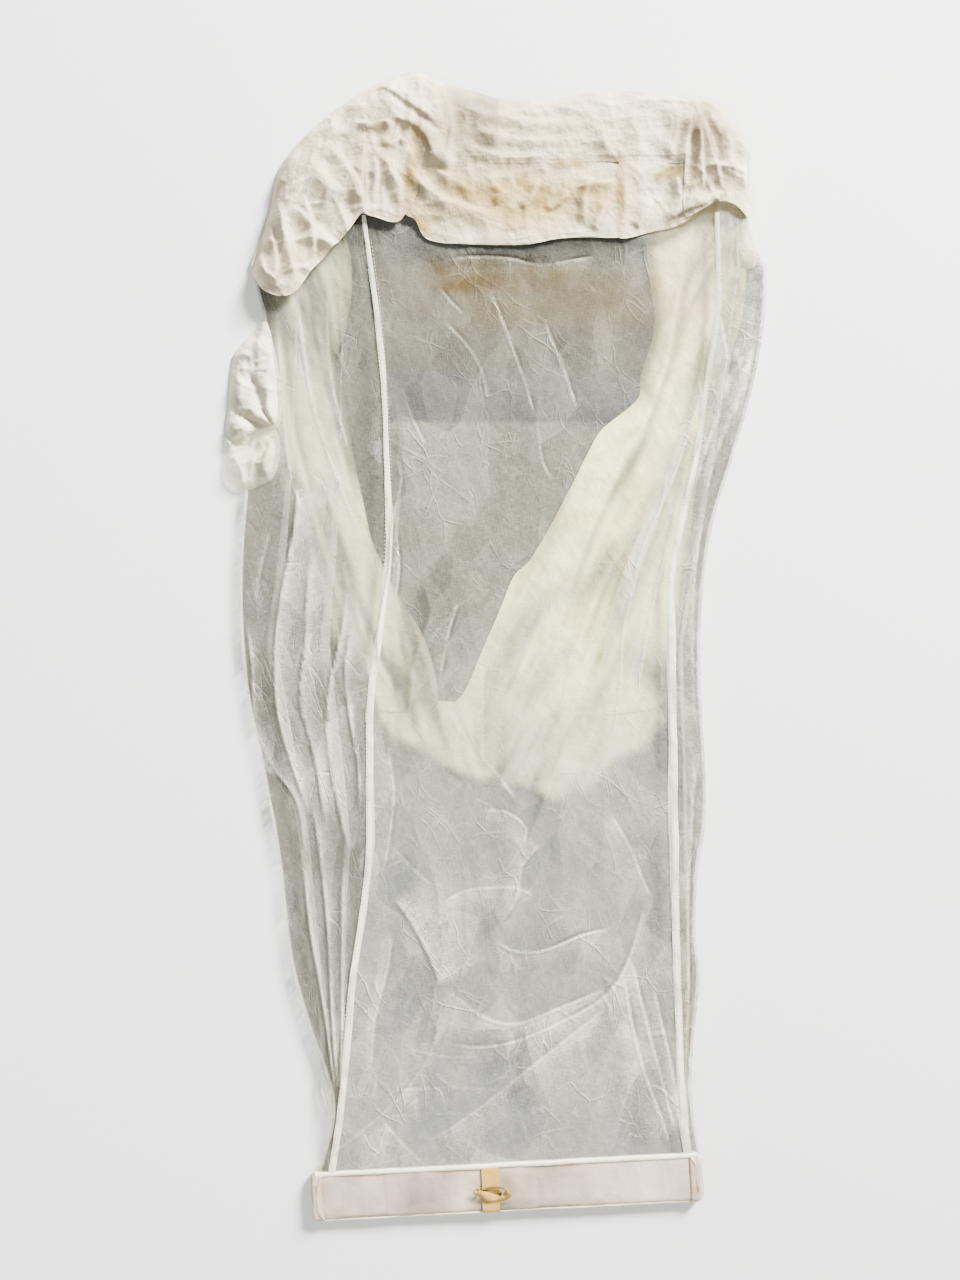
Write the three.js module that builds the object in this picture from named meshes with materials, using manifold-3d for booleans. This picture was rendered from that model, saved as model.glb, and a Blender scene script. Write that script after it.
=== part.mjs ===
// A full-length insect-proof suit, laid out flat on its back: a sheer gauze shroud with an opaque
// calico yoke at the head end and a cloth-covered batten sewn across the foot end.
// Units are millimetres. +Y runs from the batten to the yoke, +X to the wearer's left as it lies,
// and +Z up from the surface. The origin is on the surface, under the middle of the suit.
import * as THREE from "three";
import { mergeVertices } from "three/addons/utils/BufferGeometryUtils.js";
import Module from "manifold-3d";

// Driving dimensions
const HALF_SPREAD = 422; // widest reach of the cloth to each side
const HALF_LENGTH = 895; // from the middle to the yoke's peak, and to the batten's lowest corner
const GAP = 0.6; // air between cloth pieces that touch on the real suit
const TAPE_WIDTH = 12.7; // half-inch cotton tape over each long seam
const TAPE_THICK = 1.1;
const GAUZE_THICK = 1.8;
const CALICO_THICK = 3;
const WALL = 4; // thickness allowed for a folded side edge
const STATION = 45; // spacing along the suit at which the long edges bend

// Heights of the layers above the surface
const BACK_TOP = GAUZE_THICK;
const BACK_TAPE_BASE = BACK_TOP + GAP / 2;
const LINING_BASE = BACK_TAPE_BASE + TAPE_THICK + GAP / 2;
const FRONT_BASE = 19.6; // underside of the front gauze: the wearer's space ends here
const FRONT_TOP = FRONT_BASE + GAUZE_THICK;
const FRONT_TAPE_BASE = FRONT_TOP + GAP / 2;
const YOKE_BASE = FRONT_TAPE_BASE + TAPE_THICK + GAP;

// The batten across the foot end
const BAR = {
  x: 16,
  y: -841,
  tilt: THREE.MathUtils.degToRad(3),
  length: 610,
  width: 76,
  boardThick: 10,
  cloth: 1.6,
  end: 11, // length of the folded cloth past each end of the board
  roll: 3.6, // radius of the rolled cloth along the long edges
};

const wasm = await Module();
wasm.setup();

// ---------- Helpers ----------

// A smooth line down the cloth: x as a function of y, through a few [y, x] points in rising y.
function line(...points) {
  const slope = (i) => {
    const [a, b] = [points[Math.max(i - 1, 0)], points[Math.min(i + 1, points.length - 1)]];
    return (b[1] - a[1]) / (b[0] - a[0]);
  };
  return (y) => {
    const above = points.findIndex(([at]) => at > y);
    const i = above < 0 ? points.length - 2 : Math.max(above - 1, 0);
    const [[ya, xa], [yb, xb]] = [points[i], points[i + 1]];
    const [span, rise] = [yb - ya, xb - xa];
    const t = (y - ya) / span;
    const leave = slope(i) * span - rise;
    const arrive = slope(i + 1) * span - rise;
    return xa + t * rise + t * (1 - t) * ((1 - t) * leave - t * arrive);
  };
}

const shifted = (curve, by) => (y) => curve(y) + by;

// The line of the batten's head-side edge, moved along the suit by offset.
const battenEdge = (x, offset = 0) =>
  BAR.y + BAR.width / 2 + offset + Math.tan(BAR.tilt) * (x - BAR.x);

// A flat slab of cloth between two lines. Each end is a height, or a function of x for a slanted end.
// Every panel bends at the same stations along the suit, so neighbours keep their gap.
function panel(left, right, from, to, base, thick) {
  const endAt = (end, curve) => (typeof end === "number" ? end : end(curve(end(curve(0)))));
  const side = (curve) => {
    const [low, high] = [endAt(from, curve), endAt(to, curve)];
    const stations = [];
    for (let y = Math.ceil(low / STATION) * STATION; y < high; y += STATION) stations.push(y);
    return [low, ...stations.filter((y) => y > low + 5 && y < high - 5), high]
      .map((y) => new THREE.Vector2(curve(y), y));
  };
  const outline = new THREE.Shape([...side(right), ...side(left).reverse()]);
  return raised(outline, base, thick);
}

// A flat outline given a thickness, standing on base.
function raised(outline, base, thick, bevel = 0) {
  const made = new THREE.ExtrudeGeometry(outline, {
    depth: thick - 2 * bevel,
    bevelEnabled: bevel > 0,
    bevelThickness: bevel,
    bevelSize: bevel,
    bevelOffset: -bevel,
    bevelSegments: 2,
    curveSegments: 4,
  });
  return made.translate(0, 0, base + bevel);
}

// A closed outline through a few points, rounded between them.
function roundedOutline(points, divisions) {
  const loop = new THREE.CatmullRomCurve3(
    points.map(([x, y]) => new THREE.Vector3(x, y, 0)),
    true,
    "centripetal",
  );
  return new THREE.Shape(
    loop.getPoints(divisions).slice(0, -1).map((p) => new THREE.Vector2(p.x, p.y)),
  );
}

function solidOf(geometry) {
  const soup = geometry.index ? geometry.toNonIndexed() : geometry;
  const bare = new THREE.BufferGeometry().setAttribute("position", soup.getAttribute("position"));
  const merged = mergeVertices(bare, 1e-3);
  return new wasm.Manifold(
    new wasm.Mesh({
      numProp: 3,
      vertProperties: merged.getAttribute("position").array,
      triVerts: new Uint32Array(merged.index.array),
    }),
  );
}

function geometryOf(solid) {
  const { vertProperties, triVerts } = solid.getMesh();
  const made = new THREE.BufferGeometry();
  made.setAttribute("position", new THREE.BufferAttribute(vertProperties, 3));
  made.setIndex(new THREE.BufferAttribute(triVerts, 1));
  made.computeVertexNormals();
  return made;
}

const joined = (...geometries) => geometryOf(geometries.map(solidOf).reduce((a, b) => a.add(b)));
const cut = (geometry, ...tools) =>
  geometryOf(tools.map(solidOf).reduce((a, b) => a.subtract(b), solidOf(geometry)));

// ---------- Materials ----------

const cloth = (color, roughness = 0.9) => new THREE.MeshStandardMaterial({ color, roughness, metalness: 0 });
const gauze = cloth(0xc9c9c3, 0.85);
const calico = cloth(0xe8e5dc);
const agedCalico = cloth(0xddd3bc);
const tape = cloth(0xefeee3);
const sleeveCloth = cloth(0xe5dedb);
const stainedTape = cloth(0xd9c49a);
const wood = cloth(0xb89a6b, 0.7);

const suit = new THREE.Group();

function add(parent, name, geometry, material) {
  const mesh = new THREE.Mesh(geometry, material);
  mesh.name = name;
  parent.add(mesh);
  return mesh;
}

// ---------- Lines of the shroud ----------

const leftSeam = line(
  [-815, -256],
  [-742, -243],
  [-690, -238],
  [-540, -226],
  [-320, -197],
  [-90, -197],
  [70, -175],
  [260, -168],
  [490, -181],
  [660, -203],
);
const rightSeam = line(
  [-785, 297],
  [-700, 288],
  [-610, 284],
  [-320, 276],
  [0, 271],
  [120, 273],
  [226, 294],
  [380, 321],
  [520, 343],
  [690, 341],
);
const leftEdge = line(
  [-815, -275],
  [-742, -257],
  [-690, -260],
  [-594, -293],
  [-486, -322],
  [-320, -342],
  [-170, -370],
  [-60, -392],
  [90, -401],
  [246, -392],
  [320, -381],
  [420, -366],
  [500, -361],
  [585, -381],
);
const rightEdge = line(
  [-785, 316],
  [-700, 304],
  [-610, 307],
  [-520, 316],
  [-446, 310],
  [-356, 313],
  [-260, 326],
  [-75, 319],
  [60, 319],
  [188, 336],
  [308, 372],
  [444, 407],
  [585, HALF_SPREAD],
);
const SHROUD_TOP = 585; // where the side panels meet the yoke
const GAUZE_TOP = 640; // the front and back gauze run on to here under the yoke

// ---------- Gauze shroud ----------

// One side panel, folded round the outer edge: a front wing, a back wing and the fold between them.
function sidePanel(seam, edge, side, from, to) {
  const inner = shifted(seam, (side * GAP) / 2);
  const crease = shifted(edge, -side * WALL);
  const wing = (base) =>
    side < 0
      ? panel(edge, inner, from, to, base, GAUZE_THICK)
      : panel(inner, edge, from, to, base, GAUZE_THICK);
  const fold =
    side < 0 ? panel(edge, crease, from, to, 0, FRONT_TOP) : panel(crease, edge, from, to, 0, FRONT_TOP);
  return joined(wing(0), wing(FRONT_BASE), fold);
}

function seamTape(seam, to, base) {
  const [left, right] = [shifted(seam, -TAPE_WIDTH / 2), shifted(seam, TAPE_WIDTH / 2)];
  return panel(left, right, hem, to, base, TAPE_THICK);
}

const hem = (x) => battenEdge(x, 7);
const mainLeft = shifted(leftSeam, GAP / 2);
const mainRight = shifted(rightSeam, -GAP / 2);
add(suit, "front_gauze", panel(mainLeft, mainRight, hem, GAUZE_TOP, FRONT_BASE, GAUZE_THICK), gauze);
add(suit, "back_gauze", panel(mainLeft, mainRight, hem, SHROUD_TOP, 0, GAUZE_THICK), gauze);
add(suit, "left_side_gauze", sidePanel(leftSeam, leftEdge, -1, hem, SHROUD_TOP), gauze);
add(suit, "right_side_gauze", sidePanel(rightSeam, rightEdge, 1, hem, SHROUD_TOP), gauze);
add(suit, "left_front_tape", seamTape(leftSeam, GAUZE_TOP, FRONT_TAPE_BASE), tape);
add(suit, "right_front_tape", seamTape(rightSeam, GAUZE_TOP, FRONT_TAPE_BASE), tape);
add(suit, "left_back_tape", seamTape(leftSeam, SHROUD_TOP, BACK_TAPE_BASE), tape);
add(suit, "right_back_tape", seamTape(rightSeam, SHROUD_TOP, BACK_TAPE_BASE), tape);

// ---------- Inner lining: opaque cloth inside the shroud, leaving a V of plain gauze ----------

const notchLeft = line(
  [-80, -88], [-45, -93], [60, -120], [160, -190], [340, -242], [480, -258], [570, -240],
);
const notchRight = line(
  [-80, -40], [-10, -27], [60, 0], [160, 42], [300, 130], [380, 205], [440, 238], [570, 236],
);
const LINING_JOIN = -80;
const LINING_HEM = -262;

const liningFrom = LINING_JOIN + GAP;
const liningLeftEdge = shifted(leftEdge, WALL + GAP);
const liningRightEdge = shifted(rightEdge, -WALL - GAP);
add(suit, "lining_left", panel(liningLeftEdge, notchLeft, liningFrom, 570, LINING_BASE, 1.6), calico);
add(suit, "lining_right", panel(notchRight, liningRightEdge, liningFrom, 570, LINING_BASE, 1.6), calico);
add(
  suit,
  "lining_lower",
  raised(
    roundedOutline(
      [
        [-186, -86],
        [-80, -84],
        [0, -84],
        [120, -84],
        [226, -86],
        [262, -110],
        [190, -205],
        [80, LINING_HEM],
        [-60, -232],
        [-170, -165],
        [-205, -110],
      ],
      36,
    ),
    LINING_BASE,
    1.6,
  ),
  calico,
);

// ---------- Yoke ----------

const backYoke = [
  [-374, 604],
  [-360, 592],
  [-180, 591],
  [0, 591],
  [180, 591],
  [360, 592],
  [376, 604],
  [392, 660],
  [388, 740],
  [366, 812],
  [300, 840],
  [160, 848],
  [20, 838],
  [-60, 862],
  [-119, HALF_LENGTH - 8],
  [-180, 868],
  [-300, 796],
  [-352, 700],
];
add(suit, "back_yoke", raised(roundedOutline(backYoke, 40), 0, CALICO_THICK), calico);

// A shoulder: a crumpled mound of cloth over the front, carried down to the surface along its outer side.
function shoulder(mound, flank, height) {
  const flankBase = CALICO_THICK + GAP;
  return joined(
    raised(roundedOutline(mound, 32), YOKE_BASE, height - YOKE_BASE, 5),
    raised(roundedOutline(flank, 20), flankBase, YOKE_BASE + 4 - flankBase),
  );
}

const leftMound = [
  [-372, 596],
  [-350, 572],
  [-318, 560],
  [-262, 610],
  [-212, 656],
  [-158, 660],
  [-144, 690],
  [-138, 752],
  [-120, 830],
  [-108, 872],
  [-119, HALF_LENGTH],
  [-175, 876],
  [-240, 842],
  [-318, 780],
  [-354, 700],
];
const leftFlank = [
  [-372, 604],
  [-362, 600],
  [-340, 700],
  [-304, 772],
  [-236, 822],
  [-172, 856],
  [-180, 870],
  [-242, 838],
  [-314, 780],
  [-350, 702],
];
const rightMound = [
  [302, 668],
  [345, 688],
  [393, 668],
  [400, 740],
  [374, 812],
  [320, 847],
  [300, 840],
  [294, 760],
];
const rightFlank = [
  [380, 672],
  [391, 670],
  [396, 740],
  [370, 811],
  [320, 844],
  [306, 838],
  [358, 800],
  [383, 738],
];
add(suit, "left_shoulder", shoulder(leftMound, leftFlank, 42), calico);
add(suit, "right_shoulder", shoulder(rightMound, rightFlank, 40), calico);

// Flat panels between the shoulders: a stained front panel hanging free below a stitched seam,
// a plain side panel next to it, and the panel above them both.
const frontPanel = [
  [-126, 674],
  [-88, 632],
  [-20, 624],
  [60, 622],
  [178, 626],
  [186, 634],
  [187, 690],
  [186, 738],
  [176, 744],
  [60, 744],
  [-40, 743],
  [-108, 744],
  [-118, 738],
];
const sidePanelOutline = [
  [192, 638],
  [200, 630],
  [250, 640],
  [284, 652],
  [288, 700],
  [286, 740],
  [276, 745],
  [200, 744],
  [192, 738],
];
const topPanel = [
  [-120, 766],
  [-104, 754],
  [-20, 750],
  [80, 750],
  [190, 751],
  [276, 752],
  [286, 762],
  [291, 800],
  [288, 842],
  [160, 857],
  [10, 848],
  [-60, 864],
  [-92, 860],
  [-106, 820],
];
add(suit, "yoke_front_panel", raised(roundedOutline(frontPanel, 40), YOKE_BASE, 6, 1.5), agedCalico);
add(suit, "yoke_side_panel", raised(roundedOutline(sidePanelOutline, 28), YOKE_BASE, 6, 1.5), calico);
add(suit, "yoke_top_panel", raised(roundedOutline(topPanel, 40), YOKE_BASE, 8, 2), calico);

// ---------- Slack of the side walls, folded outwards below each shoulder ----------

const bulgeOutline = [
  [-366, 502], [-388, 482], [-411, 430], [-420, 330], [-410, 306], [-389, 320], [-379, 360], [-371, 420],
];
const pocketOutline = [
  [-HALF_SPREAD, 300], [-419, 262], [-402, 250], [-395, 262], [-392, 290], [-408, 300],
];
const cornerOutline = [
  [382, 592], [402, 588], [416, 606], [408, 626], [404, 655], [398, 655], [390, 630],
];
const cornerBase = CALICO_THICK + GAP;
add(suit, "left_side_fold", raised(roundedOutline(bulgeOutline, 24), 0, 15, 3), calico);
add(suit, "left_side_fold_gauze", raised(roundedOutline(pocketOutline, 18), 0, 13, 2), gauze);
add(suit, "right_side_fold", raised(roundedOutline(cornerOutline, 20), cornerBase, 14, 3), calico);

// ---------- Batten: a cloth-covered board across the foot end ----------

const bar = new THREE.Group();
bar.position.set(BAR.x, BAR.y, 0);
bar.rotation.z = BAR.tilt;
suit.add(bar);

const block = (x, y, z, length, width, height) =>
  new THREE.BoxGeometry(length, width, height).translate(x, y, z + height / 2);

const tailTop = GAUZE_THICK;
const backBase = tailTop + GAP / 2;
const boardBase = backBase + BAR.cloth + GAP;
const boardTop = boardBase + BAR.boardThick;
const faceBase = boardTop + GAP;
const barTop = faceBase + BAR.cloth;
const boardLength = BAR.length - 2 * BAR.end;
const boardWidth = BAR.width - 4 * BAR.roll - 2 * GAP;
const faceWidth = BAR.width - 4 * BAR.roll - GAP;

function rolledEdge(y) {
  return new THREE.CylinderGeometry(BAR.roll, BAR.roll, boardLength, 12)
    .rotateZ(Math.PI / 2)
    .scale(1, 1, 1.9)
    .translate(0, y, backBase + 1.9 * BAR.roll);
}

// The cloth folded in over one end of the board, with the corners rounded.
function endFold(side) {
  const [near, far] = [side * (boardLength / 2 + GAP), (side * BAR.length) / 2];
  const half = BAR.width / 2;
  const outline = new THREE.Shape();
  outline.moveTo(near, -half + 1);
  outline.lineTo(far - side * 6, -half + 1);
  outline.quadraticCurveTo(far, -half + 1, far, -half + 8);
  outline.lineTo(far, half - 8);
  outline.quadraticCurveTo(far, half - 1, far - side * 6, half - 1);
  outline.lineTo(near, half - 1);
  return raised(outline, 0, barTop, 2);
}

add(bar, "batten_board", block(0, 0, boardBase, boardLength, boardWidth, BAR.boardThick), wood);
add(bar, "sleeve_front", block(0, 0, faceBase, boardLength, faceWidth, BAR.cloth), sleeveCloth);
add(bar, "sleeve_back", block(0, 0, backBase, boardLength, faceWidth, BAR.cloth), sleeveCloth);
add(bar, "sleeve_head_edge", rolledEdge(BAR.width / 2 - BAR.roll), sleeveCloth);
add(bar, "sleeve_foot_edge", rolledEdge(-BAR.width / 2 + BAR.roll), sleeveCloth);
add(bar, "sleeve_left_end", endFold(-1), sleeveCloth);
add(bar, "sleeve_right_end", endFold(1), sleeveCloth);
add(bar, "back_gauze_tail", block(0, 0, 0, boardLength - 2, BAR.width - 2, GAUZE_THICK), gauze);

// ---------- Hanging tape and its loop ----------

const HANGER_X = -9;
const HANGER_WIDTH = 28;
const hangerBase = barTop + GAP / 2;
const stripTop = hangerBase + TAPE_THICK;
const hangerStrip = block(HANGER_X, 0, hangerBase, HANGER_WIDTH, faceWidth - 2, TAPE_THICK);
add(bar, "hanging_tape", hangerStrip, stainedTape);

const LOOP = { x: -12, y: -5, length: 58, width: 27, hole: 34, slot: 11, height: 8 };
const lens = (length, width) => {
  const outline = new THREE.Shape();
  outline.moveTo(-length / 2, 0);
  outline.bezierCurveTo(-length / 4, -width * 0.66, length / 4, -width * 0.66, length / 2, 0);
  outline.bezierCurveTo(length / 4, width * 0.66, -length / 4, width * 0.66, -length / 2, 0);
  return outline;
};
const loopBand = cut(
  raised(lens(LOOP.length, LOOP.width), 0, LOOP.height),
  raised(lens(LOOP.hole, LOOP.slot), -1, LOOP.height + 2),
);
const loop = add(bar, "hanging_loop", loopBand, stainedTape);
loop.position.set(LOOP.x, LOOP.y, stripTop + GAP / 2);
loop.rotation.z = THREE.MathUtils.degToRad(8);

export default suit;
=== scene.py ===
"""An insect-proof gauze suit laid flat: the cloth pieces, their materials, and the studio."""

import math

import bpy
import numpy as np
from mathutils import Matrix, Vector
from mathutils.geometry import delaunay_2d_cdt


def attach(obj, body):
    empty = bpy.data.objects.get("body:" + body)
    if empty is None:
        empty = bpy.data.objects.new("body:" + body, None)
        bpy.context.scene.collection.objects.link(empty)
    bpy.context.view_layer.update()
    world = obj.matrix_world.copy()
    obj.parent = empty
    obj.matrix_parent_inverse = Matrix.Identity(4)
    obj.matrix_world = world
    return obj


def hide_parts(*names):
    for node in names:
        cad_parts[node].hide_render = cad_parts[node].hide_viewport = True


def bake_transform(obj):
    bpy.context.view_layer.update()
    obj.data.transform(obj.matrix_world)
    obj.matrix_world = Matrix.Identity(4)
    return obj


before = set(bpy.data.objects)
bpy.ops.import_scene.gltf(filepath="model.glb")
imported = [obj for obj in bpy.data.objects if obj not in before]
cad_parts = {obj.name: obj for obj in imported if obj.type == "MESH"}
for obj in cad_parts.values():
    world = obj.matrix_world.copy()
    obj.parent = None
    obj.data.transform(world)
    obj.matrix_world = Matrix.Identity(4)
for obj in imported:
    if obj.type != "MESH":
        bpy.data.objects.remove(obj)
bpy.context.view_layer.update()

MM = 0.001

# ---------------------------------------------------------------- Studio

VIEW_CENTRE = (-0.026, 0.010)
VIEW_HEIGHT = 1.984
LENS = 35.0
CLOTH_LEVEL = 0.02


def make_camera():
    data = bpy.data.cameras.new("camera")
    data.lens = LENS
    data.sensor_width = 36.0
    camera = bpy.data.objects.new("camera", data)
    distance = VIEW_HEIGHT * LENS / data.sensor_width
    camera.location = (*VIEW_CENTRE, CLOTH_LEVEL + distance)
    bpy.context.scene.collection.objects.link(camera)
    bpy.context.scene.camera = camera


def make_light(name, place, size, power, colour, target=(0, 0, 0)):
    data = bpy.data.lights.new(name, "AREA")
    data.shape = "RECTANGLE"
    data.size, data.size_y = size
    data.energy = power
    data.color = colour
    light = bpy.data.objects.new(name, data)
    light.location = place
    light.rotation_euler = (Vector(target) - Vector(place)).to_track_quat("-Z", "Y").to_euler()
    bpy.context.scene.collection.objects.link(light)


def make_studio():
    world = bpy.data.worlds.new("studio")
    world.use_nodes = True
    background = world.node_tree.nodes["Background"]
    background.inputs["Color"].default_value = (1.0, 0.99, 0.97, 1)
    background.inputs["Strength"].default_value = 0.45
    bpy.context.scene.world = world
    make_light("key", (4.4, 5.4, 3.3), (2.0, 2.0), 4300, (1.0, 0.985, 0.96))
    make_light("fill", (-3.4, -2.4, 3.6), (2.6, 2.6), 190, (0.97, 0.985, 1.0))
    mesh = bpy.data.meshes.new("floor")
    mesh.from_pydata([(-6, -6, 0), (6, -6, 0), (6, 6, 0), (-6, 6, 0)], [], [(0, 1, 2, 3)])
    floor = bpy.data.objects.new("floor", mesh)
    floor.location = (0, 0, -0.0006)
    bpy.context.scene.collection.objects.link(floor)
    paint = bpy.data.materials.new("floor_paint")
    paint.use_nodes = True
    shader = paint.node_tree.nodes["Principled BSDF"]
    shader.inputs["Base Color"].default_value = (0.97, 0.97, 0.97, 1)
    shader.inputs["Roughness"].default_value = 0.95
    mesh.materials.append(paint)


make_camera()
make_studio()

# ---------------------------------------------------------------- Shape helpers (millimetres)

_tables = {}


def noise(x, y, seed):
    """Smooth noise from -1 to 1, one cell to each unit of x and y."""
    if seed not in _tables:
        _tables[seed] = np.random.default_rng(seed).uniform(-1, 1, (256, 256))
    table = _tables[seed]
    x, y = np.asarray(x, float), np.asarray(y, float)
    xi, yi = np.floor(x).astype(int), np.floor(y).astype(int)
    fx, fy = x - xi, y - yi
    fx, fy = fx * fx * (3 - 2 * fx), fy * fy * (3 - 2 * fy)
    x0, x1, y0, y1 = xi % 256, (xi + 1) % 256, yi % 256, (yi + 1) % 256
    low = table[x0, y0] * (1 - fx) + table[x1, y0] * fx
    high = table[x0, y1] * (1 - fx) + table[x1, y1] * fx
    return low * (1 - fy) + high * fy


def cloudy(x, y, size, seed, octaves=4):
    """Noise with finer noise on it; size is the largest patch."""
    total, weight, span = 0, 0, 1.0
    for k in range(octaves):
        total = total + span * noise(x / size * 2**k, y / size * 2**k, seed + k)
        weight += span
        span *= 0.5
    return total / weight


def wrinkles(x, y, pitch, length, angle, seed, sharp=3.0):
    """Narrow raised creases, 0 to 1, running along angle (degrees from +Y, clockwise)."""
    a = math.radians(angle)
    across = x * math.cos(a) - y * math.sin(a)
    along = x * math.sin(a) + y * math.cos(a)
    across = across + pitch * 0.9 * cloudy(across, along, pitch * 4, seed + 50, 2)
    n = noise(across / pitch, along / length, seed)
    fade = 0.5 + 0.5 * noise(across / pitch / 3, along / length / 1.5, seed + 70)
    return np.clip(1 - 1.5 * np.abs(n), 0, 1) ** sharp * fade


def cells(x, y, size, seed):
    """Distance to the nearest of many scattered points: flats that meet in ridges."""
    if seed not in _tables:
        _tables[seed] = np.random.default_rng(seed).uniform(0, 1, (2, 64, 64))
    jitter = _tables[seed]
    gx, gy = x / size, y / size
    ix, iy = np.floor(gx).astype(int), np.floor(gy).astype(int)
    best = np.full(np.shape(gx), 9.0)
    for dx in (-1, 0, 1):
        for dy in (-1, 0, 1):
            cx, cy = ix + dx, iy + dy
            px = cx + jitter[0, cx % 64, cy % 64]
            py = cy + jitter[1, cx % 64, cy % 64]
            best = np.minimum(best, np.hypot(gx - px, gy - py))
    return best


def smooth(low, high, value):
    t = np.clip((value - low) / (high - low), 0, 1)
    return t * t * (3 - 2 * t)


def curve(*points):
    """x as a smooth function of y, through (y, x) points in rising y."""
    ys, xs = np.array(points, float).T
    slopes = np.array(
        [
            (xs[min(i + 1, len(xs) - 1)] - xs[max(i - 1, 0)])
            / (ys[min(i + 1, len(ys) - 1)] - ys[max(i - 1, 0)])
            for i in range(len(xs))
        ]
    )

    def at(y):
        y = np.asarray(y, float)
        i = np.clip(np.searchsorted(ys, y, side="right") - 1, 0, len(ys) - 2)
        span = ys[i + 1] - ys[i]
        rise = xs[i + 1] - xs[i]
        t = (y - ys[i]) / span
        leave = slopes[i] * span - rise
        arrive = slopes[i + 1] * span - rise
        return xs[i] + t * rise + t * (1 - t) * ((1 - t) * leave - t * arrive)

    return at


def ramp(*points):
    """A value as a simple function of y, held level past its ends."""
    ys, values = np.array(points, float).T
    return lambda y: np.interp(y, ys, values)


def rounded_loop(points, step):
    """A closed outline through points, rounded between them, about step apart."""
    p = np.array(points, float)
    out = []
    for i in range(len(p)):
        a, b, c, d = p[i - 1], p[i], p[(i + 1) % len(p)], p[(i + 2) % len(p)]
        n = max(2, int(np.linalg.norm(c - b) / step))
        lengths = [max(np.linalg.norm(q - r), 1e-6) ** 0.5 for q, r in ((b, a), (c, b), (d, c))]
        m1 = (c - b) + lengths[1] * ((b - a) / lengths[0] - (c - a) / (lengths[0] + lengths[1]))
        m2 = (c - b) + lengths[1] * ((d - c) / lengths[2] - (d - b) / (lengths[1] + lengths[2]))
        for t in np.arange(n) / n:
            out.append(
                (2 * t**3 - 3 * t**2 + 1) * b
                + (t**3 - 2 * t**2 + t) * m1
                + (3 * t**2 - 2 * t**3) * c
                + (t**3 - t**2) * m2
            )
    return np.array(out)


def rounded_path(points, step):
    """An open path through points, rounded between them."""
    p = [np.array(q, float) for q in points]
    first, last = 2 * p[0] - p[1], 2 * p[-1] - p[-2]
    p = [first, *p, last]
    out = []
    for i in range(1, len(p) - 2):
        a, b, c, d = p[i - 1], p[i], p[i + 1], p[i + 2]
        n = max(2, int(np.linalg.norm(c - b) / step))
        for t in np.arange(n) / n:
            out.append(
                0.5
                * (
                    2 * b
                    + (c - a) * t
                    + (2 * a - 5 * b + 4 * c - d) * t**2
                    + (3 * b - a - 3 * c + d) * t**3
                )
            )
    out.append(p[-2])
    return np.array(out)


def to_line(x, y, line, closed=False):
    """Distance to a line, signed distance to its left, and how far along it, from 0 to 1."""
    line = np.asarray(line, float)
    ends = np.roll(line, -1, axis=0) if closed else line[1:]
    starts = line if closed else line[:-1]
    best = np.full(np.shape(x), 1e9)
    side = np.zeros(np.shape(x))
    along = np.zeros(np.shape(x))
    count = len(starts)
    for k in range(count):
        a, b = starts[k], ends[k]
        d = b - a
        size = max(float(d @ d), 1e-9)
        t = np.clip(((x - a[0]) * d[0] + (y - a[1]) * d[1]) / size, 0, 1)
        px, py = x - a[0] - t * d[0], y - a[1] - t * d[1]
        distance = np.hypot(px, py)
        near = distance < best
        best = np.where(near, distance, best)
        side = np.where(near, np.sign(d[0] * py - d[1] * px) * distance, side)
        along = np.where(near, (k + t) / count, along)
    return best, side, along


def fold(x, y, path, width, lean=0.35):
    """A crease along a path, 1 at its crest, steeper on its left, and fading at both ends."""
    line = rounded_path(path, 25)
    _, side, along = to_line(x, y, line)
    reach = np.where(side > 0, width * lean, width)
    ends = smooth(0, 0.22, along) * smooth(0, 0.22, 1 - along)
    return np.exp(-((side / reach) ** 2) * 0.9) * ends


def crease(x, y, path, soft, sharp=2.5):
    """A pressed fold along a path: the doubled cloth on its right, its ridge, its furrow."""
    line = rounded_path(path, 20)
    reach = 4 * soft
    low, high = line.min(0) - reach, line.max(0) + reach
    near = (x > low[0]) & (x < high[0]) & (y > low[1]) & (y < high[1])
    veil, ridge, furrow = np.zeros((3, *np.shape(x)))
    _, side, along = to_line(x[near], y[near], line)
    fade = smooth(0, 0.14, along) * smooth(0, 0.14, 1 - along)
    veil[near] = np.where(side > 0, np.exp(-((side / sharp) ** 2)), np.exp(side / soft)) * fade
    ridge[near] = np.exp(-((side / sharp) ** 2)) * fade
    furrow[near] = np.exp(-(((side - 1.8 * sharp) / (1.3 * sharp)) ** 2)) * fade
    return veil, ridge, furrow


def streaks(x, y, angle, width, seed):
    """Long soft streaks along an angle, -1 to 1 (degrees from +Y, clockwise)."""
    a = math.radians(angle)
    across = x * math.cos(a) - y * math.sin(a)
    along = x * math.sin(a) + y * math.cos(a)
    return cloudy(across, along / 6, width, seed, 3)


def inside(x, y, loop):
    found = np.zeros(np.shape(x), bool)
    for (ax, ay), (bx, by) in zip(loop, np.roll(loop, -1, axis=0)):
        if ay == by:
            continue
        crosses = (ay > y) != (by > y)
        found ^= crosses & (x < (bx - ax) * (y - ay) / (by - ay) + ax)
    return found


# ---------------------------------------------------------------- Stains


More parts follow.
